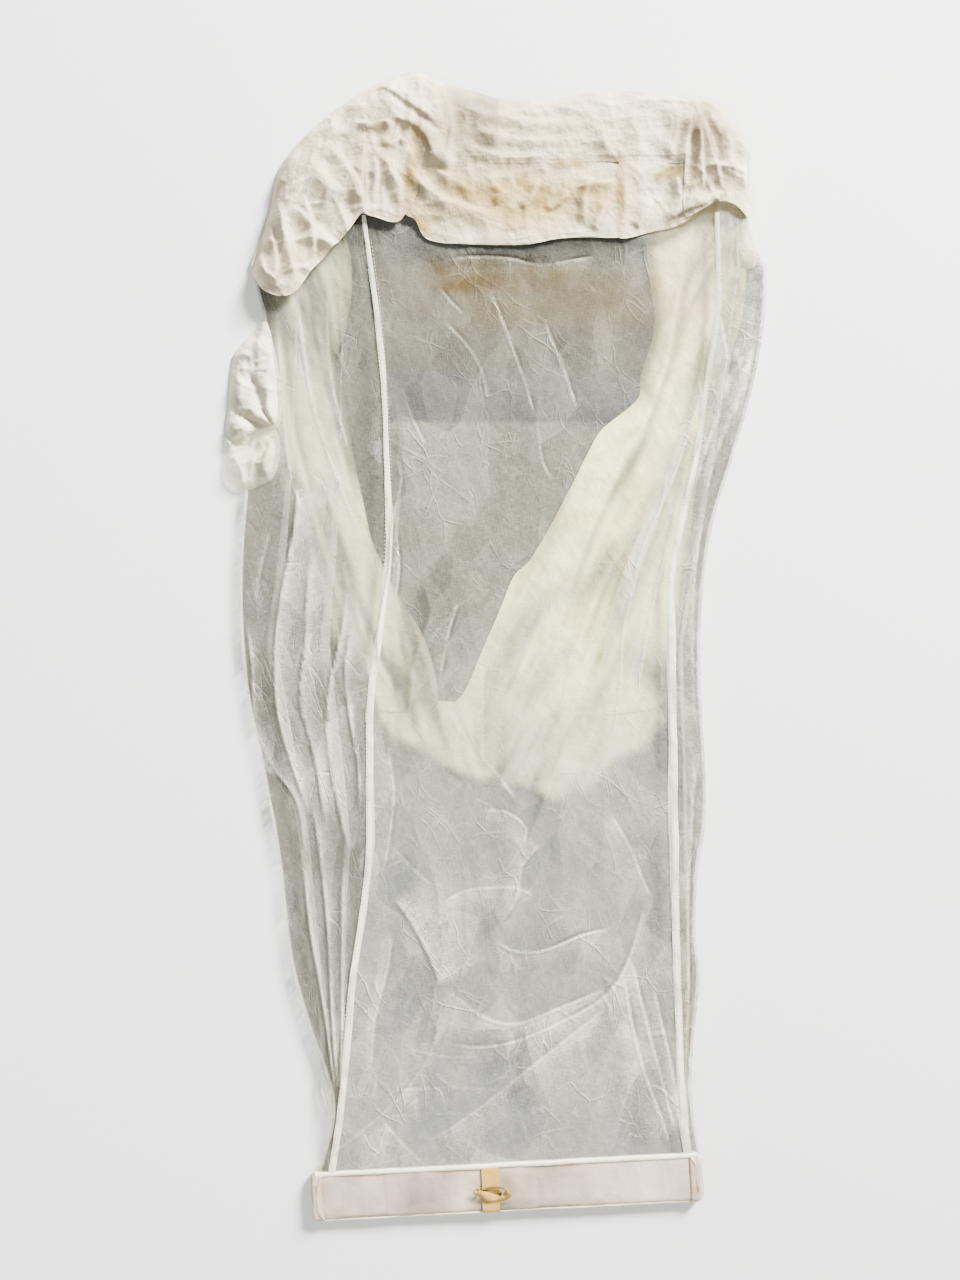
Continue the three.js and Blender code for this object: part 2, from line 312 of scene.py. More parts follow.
def stain(x, y, spots):
    """The colour that age and stains leave: a multiplier for each point.

    A spot is (x, y, half width, half height, turn, strength, shade)."""
    colour = np.ones((*np.shape(x), 3))
    for k, (cx, cy, rx, ry, turn, strength, shade) in enumerate(spots):
        a = math.radians(turn)
        dx, dy = x - cx, y - cy
        wobble = 0.45 * cloudy(x, y, max(rx, ry) * 0.9, 900 + 7 * k, 4)
        u = (dx * math.cos(a) + dy * math.sin(a)) / rx
        v = (-dx * math.sin(a) + dy * math.cos(a)) / ry
        r = np.hypot(u, v) + wobble
        mask = (1 - smooth(0.25, 1.15, r)) + 0.3 * np.exp(-(((r - 0.95) / 0.12) ** 2))
        blotch = 0.7 + 0.45 * cloudy(x, y, 18, 940 + k, 3)
        amount = np.clip(strength * mask * blotch, 0, 1)[..., None]
        colour = colour * (1 - amount * (1 - np.array(shade)))
    return colour


RUST = (0.58, 0.38, 0.08)
TAN = (0.72, 0.53, 0.19)
BEIGE = (0.84, 0.70, 0.40)
SOOT = (0.25, 0.23, 0.21)
YELLOW = (0.98, 0.92, 0.52)

GAUZE_SPOTS = [
    (-48, 560, 60, 15, 8, 0.95, RUST),
    (-88, 585, 26, 14, -30, 0.70, RUST),
    (-20, 580, 130, 34, 0, 0.60, TAN),
    (60, 545, 190, 60, 0, 0.55, BEIGE),
    (140, 540, 70, 40, -8, 0.28, RUST),
    (90, 575, 40, 16, 20, 0.50, TAN),
    (190, 480, 60, 80, 20, 0.20, BEIGE),
    (-190, 600, 12, 60, 0, 0.25, BEIGE),
    (157, -215, 6, 6, 0, 0.8, SOOT),
    (166, -222, 4, 3, 0, 0.6, SOOT),
    (80, -281, 7, 10, 0, 0.35, (0.70, 0.70, 0.55)),
    (240, -340, 60, 110, 10, 0.16, YELLOW),
    (-60, -20, 90, 200, 0, 0.16, YELLOW),
    (-255, -720, 26, 90, -8, 0.28, BEIGE),
    (60, 195, 150, 14, 2, 0.12, TAN),
]
YOKE_SPOTS = [
    (-134, 722, 19, 90, -6, 1.00, (0.48, 0.35, 0.11)),
    (-112, 654, 26, 30, 0, 1.00, (0.50, 0.37, 0.12)),
    (-136, 700, 10, 20, 10, 0.60, (0.50, 0.34, 0.14)),
    (-124, 752, 9, 22, -20, 0.60, (0.50, 0.34, 0.14)),
    (-128, 788, 14, 22, 20, 0.60, TAN),
    (-60, 712, 70, 26, -12, 0.50, BEIGE),
    (60, 690, 130, 48, 0, 0.62, BEIGE),
    (150, 705, 46, 34, 0, 0.70, TAN),
    (190, 750, 10, 34, 0, 1.00, (0.44, 0.30, 0.06)),
    (191, 690, 8, 66, 0, 1.00, (0.42, 0.29, 0.08)),
    (112, 746, 34, 9, 0, 1.00, (0.46, 0.30, 0.05)),
    (74, 706, 10, 8, 0, 0.80, (0.55, 0.45, 0.30)),
    (40, 652, 60, 14, 0, 0.40, BEIGE),
    (258, 729, 34, 16, 12, 1.00, (0.30, 0.22, 0.02)),
    (305, 742, 10, 34, 0, 0.40, BEIGE),
    (312, 694, 12, 22, 0, 0.35, TAN),
    (-170, 770, 20, 40, 20, 0.30, BEIGE),
    # Painted shade: grey over the yoke's top panel, where its slopes lie in shadow.
    (-20, 796, 90, 48, 0, 0.90, (0.54, 0.50, 0.40)),
    (40, 690, 160, 58, 0, 1.00, (0.50, 0.41, 0.18)),
    (150, 700, 50, 34, 0, 0.40, (0.72, 0.56, 0.28)),
    (330, 770, 56, 82, 0, 1.00, (0.40, 0.35, 0.27)),
    (-270, 690, 60, 60, 30, 0.25, (0.76, 0.72, 0.66)),
    (90, 800, 120, 30, 0, 0.25, (0.74, 0.71, 0.66)),
    (20, 643, 20, 3.4, 0, 0.60, SOOT),
    (38, 645, 7, 4, 30, 0.55, SOOT),
    (60, 752, 100, 3, 0, 0.35, TAN),
]
BAR_SPOTS = [
    (-292, -852, 9, 38, 3, 0.65, RUST),
    (-290, -826, 10, 9, 3, 0.7, TAN),
    (312, -824, 6, 40, 3, 0.55, RUST),
    (304, -846, 10, 8, 3, 0.5, TAN),
    (-6, -843, 42, 24, 0, 0.55, BEIGE),
    (-8, -846, 30, 15, 8, 0.50, TAN),
    (-150, -846, 130, 26, 3, 0.45, (0.86, 0.83, 0.86)),
    (60, -836, 30, 30, 3, 0.25, (0.90, 0.86, 0.84)),
    (180, -872, 120, 6, 3, 0.40, BEIGE),
    (100, -806, 160, 4, 3, 0.35, BEIGE),
    (-262, -880, 34, 6, 3, 0.35, BEIGE),
]

# ---------------------------------------------------------------- Meshes


def add_mesh(name, points, faces, material, tint=None, cover=None, flat=None):
    """A piece from points in millimetres. tint, cover and flat go with it as attributes."""
    points = np.asarray(points, float).reshape(-1, 3)
    faces = np.asarray(faces, int)
    sides = faces.shape[1]
    mesh = bpy.data.meshes.new(name)
    mesh.vertices.add(len(points))
    mesh.vertices.foreach_set("co", (points * MM).ravel())
    mesh.loops.add(faces.size)
    mesh.loops.foreach_set("vertex_index", faces.ravel())
    mesh.polygons.add(len(faces))
    mesh.polygons.foreach_set("loop_start", np.arange(len(faces)) * sides)
    mesh.polygons.foreach_set("use_smooth", np.ones(len(faces), bool))
    mesh.update(calc_edges=True)
    mesh.validate()
    count = len(points)
    tint = np.ones((count, 3)) if tint is None else np.asarray(tint, float).reshape(-1, 3)
    cover = np.ones(count) if cover is None else np.asarray(cover, float).ravel()
    flat = points[:, :2] if flat is None else np.asarray(flat, float).reshape(-1, 2)
    colour = mesh.attributes.new("tint", "FLOAT_COLOR", "POINT")
    colour.data.foreach_set("color", np.column_stack([tint, np.ones(count)]).ravel())
    mesh.attributes.new("cover", "FLOAT", "POINT").data.foreach_set("value", cover)
    place = np.column_stack([flat * MM, np.zeros(count)])
    mesh.attributes.new("cut", "FLOAT_VECTOR", "POINT").data.foreach_set("vector", place.ravel())
    mesh.materials.append(material)
    piece = bpy.data.objects.new(name, mesh)
    bpy.context.scene.collection.objects.link(piece)
    return piece


def grid_faces(rows, columns, wrap=False):
    """Quads of a grid of points stored row by row."""
    across = columns if wrap else columns - 1
    r, c = np.meshgrid(np.arange(rows - 1), np.arange(across), indexing="ij")
    a = r * columns + c
    b = r * columns + (c + 1) % columns
    return np.stack([a, b, b + columns, a + columns], axis=-1).reshape(-1, 4)


def patch(outline, step):
    """Points and triangles that fill a rounded outline."""
    loop = rounded_loop(outline, step)
    low, high = loop.min(0), loop.max(0)
    xs = np.arange(low[0], high[0], step)
    ys = np.arange(low[1], high[1], step * 0.866)
    gx, gy = np.meshgrid(xs, ys)
    gx = gx + np.where(np.arange(len(ys))[:, None] % 2, step / 2, 0)
    gx, gy = gx.ravel(), gy.ravel()
    near, _, _ = to_line(gx, gy, loop, closed=True)
    keep = inside(gx, gy, loop) & (near > step * 0.55)
    points = np.vstack([loop, np.column_stack([gx[keep], gy[keep]])])
    edges = [(i, (i + 1) % len(loop)) for i in range(len(loop))]
    made = delaunay_2d_cdt([Vector(p) for p in points], edges, [], 1, 1e-5)
    verts = np.array([tuple(v) for v in made[0]])
    tris = np.array(made[2], int)
    return verts, tris, loop


def area_of(points, faces):
    p = np.asarray(points, float).reshape(-1, 3)
    f = np.asarray(faces, int)
    total = np.cross(p[f[:, 1]] - p[f[:, 0]], p[f[:, 2]] - p[f[:, 0]])
    area = np.linalg.norm(total, axis=1).sum() / 2
    if f.shape[1] == 4:
        rest = np.cross(p[f[:, 2]] - p[f[:, 0]], p[f[:, 3]] - p[f[:, 0]])
        area += np.linalg.norm(rest, axis=1).sum() / 2
    return area / 1e6


def declare_panel(piece, loop, points, faces, spare, held, digits=4, **rest):
    box = (loop.max(0) - loop.min(0)) * MM
    size = tuple(round(float(side * more), 3) for side, more in zip(box, spare))
    area = min(max(area_of(points, faces), 0.3 * size[0] * size[1]), size[0] * size[1])


def settle(piece, slot, body, *nodes):
    """Names the CAD nodes that a piece replaces and the body it rides; slot is not used."""
    if nodes:
        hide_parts(*nodes)
    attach(piece, body)


# ---------------------------------------------------------------- Materials


class Nodes:
    """A small builder for a material's nodes."""

    def __init__(self, name):
        self.material = bpy.data.materials.new(name)
        self.material.use_nodes = True
        self.tree = self.material.node_tree
        self.shader = self.tree.nodes["Principled BSDF"]

    def new(self, kind, **settings):
        node = self.tree.nodes.new(kind)
        for key, value in settings.items():
            setattr(node, key, value)
        return node

    def feed(self, socket, value):
        if isinstance(value, (int, float, tuple)):
            socket.default_value = value
        else:
            self.tree.links.new(value, socket)

    def math(self, operation, a, b=0.0, c=0.0, clamp=False):
        node = self.new("ShaderNodeMath", operation=operation, use_clamp=clamp)
        for socket, value in zip(node.inputs, (a, b, c)):
            self.feed(socket, value)
        return node.outputs[0]

    def mix(self, factor, a, b, kind="MIX"):
        node = self.new("ShaderNodeMix", data_type="RGBA", blend_type=kind)
        self.feed(node.inputs[0], factor)
        self.feed(node.inputs[6], a)
        self.feed(node.inputs[7], b)
        return node.outputs[2]

    def attribute(self, name, output):
        node = self.new("ShaderNodeAttribute", attribute_name=name)
        return node.outputs[output]

    def scaled(self, vector, scale):
        node = self.new("ShaderNodeVectorMath", operation="MULTIPLY")
        self.feed(node.inputs[0], vector)
        node.inputs[1].default_value = scale
        return node.outputs[0]

    def noise(self, vector, scale, detail=3.0, rough=0.55):
        node = self.new("ShaderNodeTexNoise")
        self.feed(node.inputs["Vector"], vector)
        node.inputs["Scale"].default_value = scale
        node.inputs["Detail"].default_value = detail
        node.inputs["Roughness"].default_value = rough
        return node.outputs["Fac"]


def threads(n, cut, pitch):
    """Heights of the warp and weft, 0 between threads and 1 on them."""
    parts = n.new("ShaderNodeSeparateXYZ")
    n.feed(parts.inputs[0], cut)
    heights = []
    for axis in (0, 1):
        phase = n.math("MULTIPLY", parts.outputs[axis], math.pi / pitch)
        heights.append(n.math("ABSOLUTE", n.math("SINE", phase)))
    return heights


def moved_by_noise(n, cut, scale, reach):
    """The cloth's own coordinates, pushed about by noise."""
    warp = n.new("ShaderNodeTexNoise")
    n.feed(warp.inputs["Vector"], cut)
    warp.inputs["Scale"].default_value = scale
    warp.inputs["Detail"].default_value = 3.0
    moved = n.new("ShaderNodeVectorMath", operation="MULTIPLY_ADD")
    n.feed(moved.inputs[0], warp.outputs["Color"])
    moved.inputs[1].default_value = (reach, reach, 0)
    n.feed(moved.inputs[2], cut)
    return moved.outputs[0]


def crease_lines(n, cut):
    """Thin creases, 0 to 1: the edges of large flat facets, with a few finer lines."""
    moved = moved_by_noise(n, cut, 9.0, 0.05)
    total = None
    for turn, scale, width in ((0.35, (20, 3, 1), 0.014), (-0.7, (16, 4, 1), 0.012)):
        rotate = n.new("ShaderNodeVectorRotate", rotation_type="Z_AXIS")
        n.feed(rotate.inputs["Vector"], moved)
        rotate.inputs["Angle"].default_value = turn
        value = n.noise(n.scaled(rotate.outputs[0], scale), 1.0, 1.0)
        away = n.math("ABSOLUTE", n.math("SUBTRACT", value, 0.5))
        line = n.math("SUBTRACT", 1.0, n.math("DIVIDE", away, width), clamp=True)
        total = line if total is None else n.math("MAXIMUM", total, line)
    for scale, width in ((8.0, 0.016), (19.0, 0.024)):
        cells = n.new("ShaderNodeTexVoronoi", feature="DISTANCE_TO_EDGE")
        n.feed(cells.inputs["Vector"], n.scaled(moved, (1, 0.62, 1)))
        cells.inputs["Scale"].default_value = scale
        away = n.math("DIVIDE", cells.outputs["Distance"], width)
        line = n.math("SUBTRACT", 1.0, away, clamp=True)
        total = n.math("MAXIMUM", total, line)
    patchy = n.noise(cut, 12.0, 2.0)
    present = n.math("MULTIPLY", n.math("SUBTRACT", patchy, 0.46), 6.0, clamp=True)
    return n.math("MULTIPLY", total, present)


def facet_tone(n, cut):
    """An even density to each flat facet of the creased gauze, -0.5 to 0.5."""
    moved = moved_by_noise(n, cut, 9.0, 0.05)
    total = None
    for scale, weight in ((11.0, 0.6), (26.0, 0.4)):
        cells = n.new("ShaderNodeTexVoronoi")
        n.feed(cells.inputs["Vector"], n.scaled(moved, (1, 0.62, 1)))
        cells.inputs["Scale"].default_value = scale
        parts = n.new("ShaderNodeSeparateColor")
        n.feed(parts.inputs[0], cells.outputs["Color"])
        part = n.math("MULTIPLY", n.math("SUBTRACT", parts.outputs[0], 0.76), weight)
        slope = n.math("MULTIPLY", cells.outputs["Distance"], weight * 0.8)
        part = n.math("ADD", part, slope)
        total = part if total is None else n.math("ADD", total, part)
    return total


def facets(n, cut):
    """The flats and ridges of crumpled cloth, from cells of two sizes."""
    moved = moved_by_noise(n, cut, 22.0, 0.03)
    total = None
    for scale, weight in ((15.0, 1.0), (34.0, 0.45)):
        cells = n.new("ShaderNodeTexVoronoi")
        n.feed(cells.inputs["Vector"], moved)
        cells.inputs["Scale"].default_value = scale
        part = n.math("MULTIPLY", cells.outputs["Distance"], weight)
        total = part if total is None else n.math("ADD", total, part)
    return total


def cloth_material(
    name, colour, pitch, open_weave=0.0, alpha=1.0, slub=0.25, bump=0.25, crease=0.5,
    lines=0.0, crumple=0.0, sheen=0.15,
):
    """Woven cotton. open_weave lets light through between threads; slub is thread unevenness."""
    n = Nodes(name)
    cut = n.attribute("cut", "Vector")
    warp, weft = threads(n, cut, pitch)
    weave = n.math("MULTIPLY", n.math("ADD", warp, weft), 0.5)
    long_slub = n.noise(n.scaled(cut, (900, 90, 1)), 1.0, 2.0)
    cross_slub = n.noise(n.scaled(cut, (90, 900, 1)), 1.0, 2.0)
    slubs = n.math("MULTIPLY", n.math("ADD", long_slub, cross_slub), 0.5)
    cloud = n.noise(cut, 14.0, 5.0, 0.6)
    tint = n.attribute("tint", "Color")
    base = n.mix(1.0, (*colour, 1), tint, "MULTIPLY")
    fleck = n.math("SUBTRACT", slubs, 0.5)
    network = crease_lines(n, cut) if lines else 0.0
    value = n.math("MULTIPLY_ADD", fleck, slub, 1.0)
    value = n.math("ADD", value, n.math("MULTIPLY", n.math("SUBTRACT", cloud, 0.5), 0.10))
    shade = n.new("ShaderNodeCombineColor")
    for socket in shade.inputs[:3]:
        n.feed(socket, value)
    base = n.mix(1.0, base, shade.outputs[0], "MULTIPLY")
    n.feed(n.shader.inputs["Base Color"], base)
    n.shader.inputs["Roughness"].default_value = 0.88
    n.shader.inputs["Sheen Weight"].default_value = sheen
    n.shader.inputs["Specular IOR Level"].default_value = 0.2
    if alpha < 1 or open_weave > 0:
        cover = n.attribute("cover", "Fac")
        solid = n.math("MULTIPLY_ADD", n.math("SUBTRACT", weave, 0.63), open_weave, alpha)
        solid = n.math("ADD", solid, n.math("MULTIPLY", fleck, 0.9))
        solid = n.math("ADD", solid, n.math("MULTIPLY", n.math("SUBTRACT", cloud, 0.5), 0.22))
        if lines:
            solid = n.math("ADD", solid, n.math("MULTIPLY", network, lines))
            solid = n.math("ADD", solid, n.math("MULTIPLY", facet_tone(n, cut), 0.32))
        n.feed(n.shader.inputs["Alpha"], n.math("MULTIPLY", solid, cover, clamp=True))
    fine = n.new("ShaderNodeBump")
    fine.inputs["Strength"].default_value = bump
    fine.inputs["Distance"].default_value = 0.0004
    n.feed(fine.inputs["Height"], n.math("ADD", weave, n.math("MULTIPLY", slubs, 1.5)))
    broad = n.new("ShaderNodeBump")
    broad.inputs["Strength"].default_value = crease
    broad.inputs["Distance"].default_value = 0.004
    relief = n.noise(cut, 46.0, 5.0, 0.62)
    if lines:
        relief = n.math("ADD", relief, n.math("MULTIPLY", network, 0.5))
    if crumple:
        relief = n.math("ADD", relief, n.math("MULTIPLY", facets(n, cut), crumple))
    n.feed(broad.inputs["Height"], relief)
    n.feed(broad.inputs["Normal"], fine.outputs[0])
    n.feed(n.shader.inputs["Normal"], broad.outputs[0])
    return n.material


GAUZE = cloth_material(
    "gauze", (0.62, 0.615, 0.50), 0.0011, 0.30, 0.245, 0.20, 0.3, 0.6, lines=0.20, sheen=0.05
)
BACK_GAUZE = cloth_material(
    "gauze_back", (1.0, 1.0, 1.0), 0.0011, 0.1, 0.97, 0.35, 0.3, 0.3
)
LINING = cloth_material(
    "lining_cloth", (0.93, 0.89, 0.54), 0.0007, 0.05, 0.97, 0.10, 0.2, 0.5, crumple=1.0
)
CALICO = cloth_material(
    "calico", (0.73, 0.635, 0.43), 0.0007, slub=0.12, bump=0.25, crease=1.0, crumple=0.9
)
TAPE = cloth_material("tape", (0.96, 0.95, 0.76), 0.0006, slub=0.12, crease=0.2)
SLEEVE = cloth_material("sleeve_cloth", (0.58, 0.475, 0.375), 0.0005, slub=0.10, crease=0.35)
TAN_TAPE = cloth_material("tan_tape", (0.62, 0.39, 0.09), 0.0006, slub=0.3, crease=0.3)

# ---------------------------------------------------------------- Lines of the shroud

LEFT_SEAM = curve(
    (-815, -256), (-742, -243), (-690, -238), (-540, -226), (-320, -197),
    (-90, -197), (70, -175), (260, -168), (490, -181), (660, -203),
)
RIGHT_SEAM = curve(
    (-785, 297), (-700, 288), (-610, 284), (-320, 276), (0, 271),
    (120, 273), (226, 294), (380, 321), (520, 343), (690, 341),
)
LEFT_EDGE = curve(
    (-815, -275), (-742, -257), (-690, -260), (-594, -293), (-486, -322), (-320, -342),
    (-170, -370), (-60, -392), (90, -401), (246, -392), (320, -381), (420, -366),
    (500, -361), (585, -378), (640, -362), (668, -356), (705, -345),
)
RIGHT_EDGE = curve(
    (-785, 316), (-700, 304), (-610, 307), (-520, 316), (-446, 310), (-356, 313),
    (-260, 326), (-75, 319), (60, 319), (188, 336), (308, 372), (444, 407), (585, 421),
    (625, 402), (668, 390), (705, 380),
)
BAR_X, BAR_Y, BAR_TILT, BAR_LENGTH, BAR_WIDTH = 16, -841, math.radians(3), 610, 76
BAR_FOOT = -800  # about where the cloth meets the batten
UNDER_SLEEVE = -4.0  # how far the gauze runs under the sleeve's edge
FRONT_LEVEL, BACK_LEVEL = 20.5, 1.2
FOOT_DROP = 6.5  # the front gauze comes down this far to meet the batten


def bar_edge(x, offset=0.0):
    return BAR_Y + BAR_WIDTH / 2 + offset + math.tan(BAR_TILT) * (np.asarray(x) - BAR_X)


def pleated(left, right, top, pleats, step):
    """A sheet between two lines, with pleats that run along it.

    Each pleat is (x line, width line). The cloth runs past the pleat, doubles back under
    itself and goes on. Gives x, y, lift and the cut's x, each rows by columns."""
    spans = len(pleats) + 1
    columns, kinds = [], []
    mid_width = abs(float(right(0.0) - left(0.0)))
    forward = max(8, int(mid_width / spans / step))
    for k in range(spans):
        columns.append(forward)
        kinds.append("run")
        if k < len(pleats):
            columns.append(5)
            kinds.append("back")
    total = sum(columns) + 1
    u_guess = np.linspace(0, 1, total)
    rows = int((top - BAR_FOOT) / step)
    t = np.linspace(0, 1, rows)[:, None]
    x_guess = left(-780.0) * (1 - u_guess) + right(-780.0) * u_guess
    low = bar_edge(x_guess, UNDER_SLEEVE)
    y = low + (top - low) * t
    knots = [left(y)]
    for line, width in pleats:
        sway = 6.0 * cloudy(y, y * 0 + len(knots), 240, 171, 2)
        c, w = line(y) + sway, np.maximum(width(y), 0.0)
        knots += [c + w / 2, c - w / 2]
    knots.append(right(y))
    x = np.empty_like(y)
    lift = np.zeros_like(y)
    at = 0
    full = 1.0
    pleat = 0
    for k, (n, kind) in enumerate(zip(columns, kinds)):
        s = np.linspace(0, 1, n + 1)
        a, b = knots[k][:, at : at + n + 1], knots[k + 1][:, at : at + n + 1]
        x[:, at : at + n + 1] = a + (b - a) * s
        if kind == "back":
            full = np.clip(pleats[pleat][1](y[:, at : at + 1]) / 7, 0, 1)
            pleat += 1
            lift[:, at : at + n + 1] = (-0.8 * s - 0.1) * full
        elif k > 0:
            gone = np.abs(x[:, at : at + n + 1] - a)
            lift[:, at : at + n + 1] = -0.9 * np.exp(-gone / 12) * full
        at += n
    run = np.abs(np.diff(x, axis=1))
    cut_x = np.concatenate([np.zeros((rows, 1)), np.cumsum(run, axis=1)], axis=1) + left(0.0)
    return x, y, lift, cut_x


# ---------------------------------------------------------------- Gauze shroud

# A gauze fold is (path, softness, veil of doubled cloth, ridge of painted highlight and furrow shade,
# height).
FRONT_FOLDS = [
    ([(-272, -801), (-236, -774), (-186, -733), (-135, -680), (-100, -620), (-86, -556)],
     26, 0.10, 0.2, 3.0),
    ([(-113, -774), (-49, -733), (42, -661), (120, -600), (169, -560)], 34, 0.40, 0.2, 3.0),
    ([(-86, -613), (-40, -621), (10, -617), (70, -597), (133, -565), (170, -540), (201, -492), (232, -392)],
     14, 0.30, 0.9, 2.6),
    ([(-85, -528), (-22, -574), (14, -585), (42, -583), (87, -565), (173, -529)], 20, 0.35, 0.5, 2.0),
    ([(-85, -528), (-104, -480), (-130, -430), (-161, -388)], 40, 0.55, 0.5, 3.2),
    ([(-8, -451), (23, -472), (60, -474), (92, -465), (133, -447), (178, -438)], 12, 0.35, 1.1, 3.0),
    ([(-86, -401), (-49, -379), (28, -374), (60, -390)], 16, 0.30, 0.7, 2.0),
    ([(69, -306), (37, -342), (32, -388), (5, -429)], 14, 0.25, 0.8, 2.2),
    ([(-31, -256), (14, -256), (46, -283), (37, -310)], 10, 0.22, 0.8, 2.0),
    ([(-163, -310), (-130, -345), (-100, -372)], 10, 0.20, 0.6, 1.8),
    ([(-163, -440), (-170, -500), (-190, -580), (-196, -660)], 16, 0.35, 0.4, 2.4),
    ([(196, -505), (206, -570), (224, -647), (250, -720), (271, -780)], 13, 0.60, 0.9, 2.6),
    ([(206, -480), (228, -570), (242, -624), (262, -700), (280, -766)], 9, 0.45, 0.8, 2.4),
    ([(240, -520), (256, -590), (269, -647), (287, -766)], 8, 0.40, 0.5, 2.0),
    ([(173, -256), (205, -311), (223, -356), (240, -392)], 12, 0.30, 0.8, 2.0),
    ([(-176, -738), (-150, -770), (-113, -806)], 24, 0.30, 0.4, 1.8),
    ([(-154, -686), (-70, -684), (10, -688)], 5, 0.06, 0.5, 0.8),
    ([(-172, -729), (-100, -724), (-22, -726)], 5, 0.06, 0.45, 0.8),
    ([(-140, -624), (-80, -636), (-22, -636)], 5, 0.10, 0.6, 1.0),
    ([(244, 205), (228, 192), (198, 122), (170, 40), (160, -26), (114, -125), (80, -215), (50, -300)],
     24, -0.20, 0.0, 3.6),
    ([(268, 280), (246, 190), (216, 110), (196, 20), (190, -70), (176, -150)], 16, 0.30, 0.5, 2.8),
    ([(286, 250), (262, 150), (240, 60), (226, -20), (214, -90)], 12, 0.25, 0.5, 2.4),
    ([(330, 430), (300, 340), (268, 250), (228, 160), (206, 90)], 14, 0.35, 0.6, 3.0),
    ([(350, 480), (338, 380), (306, 290), (290, 220)], 10, 0.25, 0.6, 2.4),
    ([(300, 640), (292, 560), (276, 470), (262, 400)], 22, 0.15, 0.2, 1.6),
    ([(-11, 552), (2, 520), (13, 493), (45, 402), (60, 350)], 7, 0.20, 1.3, 3.2),
    ([(-81, 503), (-51, 471), (-25, 429), (-14, 375)], 6, 0.18, 1.2, 3.0),
    ([(71, 509), (103, 429), (125, 365)], 7, 0.20, 0.9, 2.6),
    ([(-91, 557), (-70, 532), (-51, 514)], 5, 0.15, 1.0, 2.0),
    ([(-142, 381), (-125, 340), (-110, 311)], 5, 0.12, 0.8, 1.6),
    ([(61, 349), (71, 285), (87, 258)], 5, 0.12, 0.9, 1.8),
    ([(-78, 600), (-20, 603), (29, 599), (66, 589), (110, 596), (157, 604)], 12, 0.35, 0.9, 1.6),
    ([(-160, 310), (-148, 261), (-162, 196), (-167, 122), (-184, 10), (-176, -60)], 5, 0.30, 1.3, 2.4),
    ([(-150, 240), (-156, 180), (-152, 120), (-160, 60)], 4, 0.20, 0.8, 1.6),
    ([(-60, 70), (-78, 10), (-88, -50)], 4, 0.08, 0.9, 1.4),
    ([(-120, 110), (-104, 60), (-112, 28), (-133, -36), (-138, -95), (-177, -150)], 18, -0.22, 0.0, 2.4),
    ([(-170, -160), (-160, -220), (-166, -290), (-176, -350)], 10, 0.25, 0.8, 2.2),
    ([(-60, -90), (-30, -160), (10, -210), (30, -240)], 12, 0.25, 0.6, 1.6),
    ([(40, 20), (60, -30), (90, -60)], 6, 0.12, 0.8, 1.2),
    ([(-78, -100), (-60, -130), (-70, -180)], 8, 0.16, 0.5, 1.2),
]


def front_height(x, y):
    """The lie of the front gauze: low swells, long creases and named folds."""
    z = FRONT_LEVEL + 1.8 * cloudy(x, y, 260, 11, 2)
    lower = smooth(150, -250, y)
    z = z + (1.0 + 0.8 * lower) * wrinkles(x, y, 34, 260, 6, 21)
    z = z + 1.2 * wrinkles(x, y, 22, 150, -18, 31)
    z = z + 1.1 * wrinkles(x, y, 18, 110, 32, 41)
    z = z + 0.4 * cloudy(x, y, 16, 61, 3)
    dense, bright = np.zeros_like(x), np.zeros_like(x)
    patchy = 0.75 + 0.5 * cloudy(x, y, 40, 71, 3)
    broken = np.clip(0.55 + 1.3 * cloudy(x, y, 34, 77, 3), 0.12, 1.25)
    for path, soft, veil_gain, ridge_gain, height in FRONT_FOLDS:
        veil, ridge, furrow = crease(x, y, path, soft, 2.1)
        z = z + height * (0.6 * ridge + 0.5 * veil)
        dense = dense + 6.0 * veil_gain * veil * patchy
        # bright: painted highlight on each ridge, painted shade in its furrow; it also thickens the gauze
        # there.
        bright = bright + (0.9 * ridge - 0.7 * furrow) * ridge_gain * broken
    return z, dense, bright


def make_front_gauze():
    x, y, _, cut_x = pleated(LEFT_SEAM, RIGHT_SEAM, 690.0, [], step=2.5)
    z, dense, bright = front_height(x, y)
    z = z - foot_drop(y) - 2.0 * smooth(640, 660, y)
    veils = 0.10 * cloudy(x, y, 150, 75, 3) + 0.12 * smooth(-350, -800, y)
    base = 0.92 - 0.14 * smooth(-60, 120, y) - 0.27 * smooth(345, 351, y)
    cover = base * np.clip(1.0 + dense + 1.3 * bright + veils, 0.3, 3.4)
    tint = creased_tint(x, y, GAUZE_SPOTS, bright)
    mouth = smooth(-100, -60, x) * smooth(236, 190, x)
    shadow = 0.55 * np.exp(-np.clip(622 - y, 0, None) / 10) * mouth
    tint = tint * (1 - shadow[..., None])
    points, cut = np.stack([x, y, z], -1), np.stack([cut_x, y], -1)
    piece = add_mesh("front_gauze_cloth", points, grid_faces(*x.shape), GAUZE, tint, cover, cut)
    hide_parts("front_gauze")
    cross_batten(piece)


def foot_drop(y):
    """The front gauze comes down to the batten."""
    return FOOT_DROP * smooth(-700, -800, y)


def creased_tint(x, y, spots, bright):
    """Stains, with a painted highlight on the ridges of its creases and painted shade in the furrows."""
    return stain(x, y, spots) * (1 + 0.45 * np.clip(bright, -0.6, 1.0)[..., None])


def back_lie(x, y, swell, size, seed):
    """The back gauze lies on the floor, and rises a little under the yoke."""
    return BACK_LEVEL + swell * cloudy(x, y, size, seed, 3) + 1.3 * smooth(570, 590, y)


def cross_batten(piece):
    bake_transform(piece)


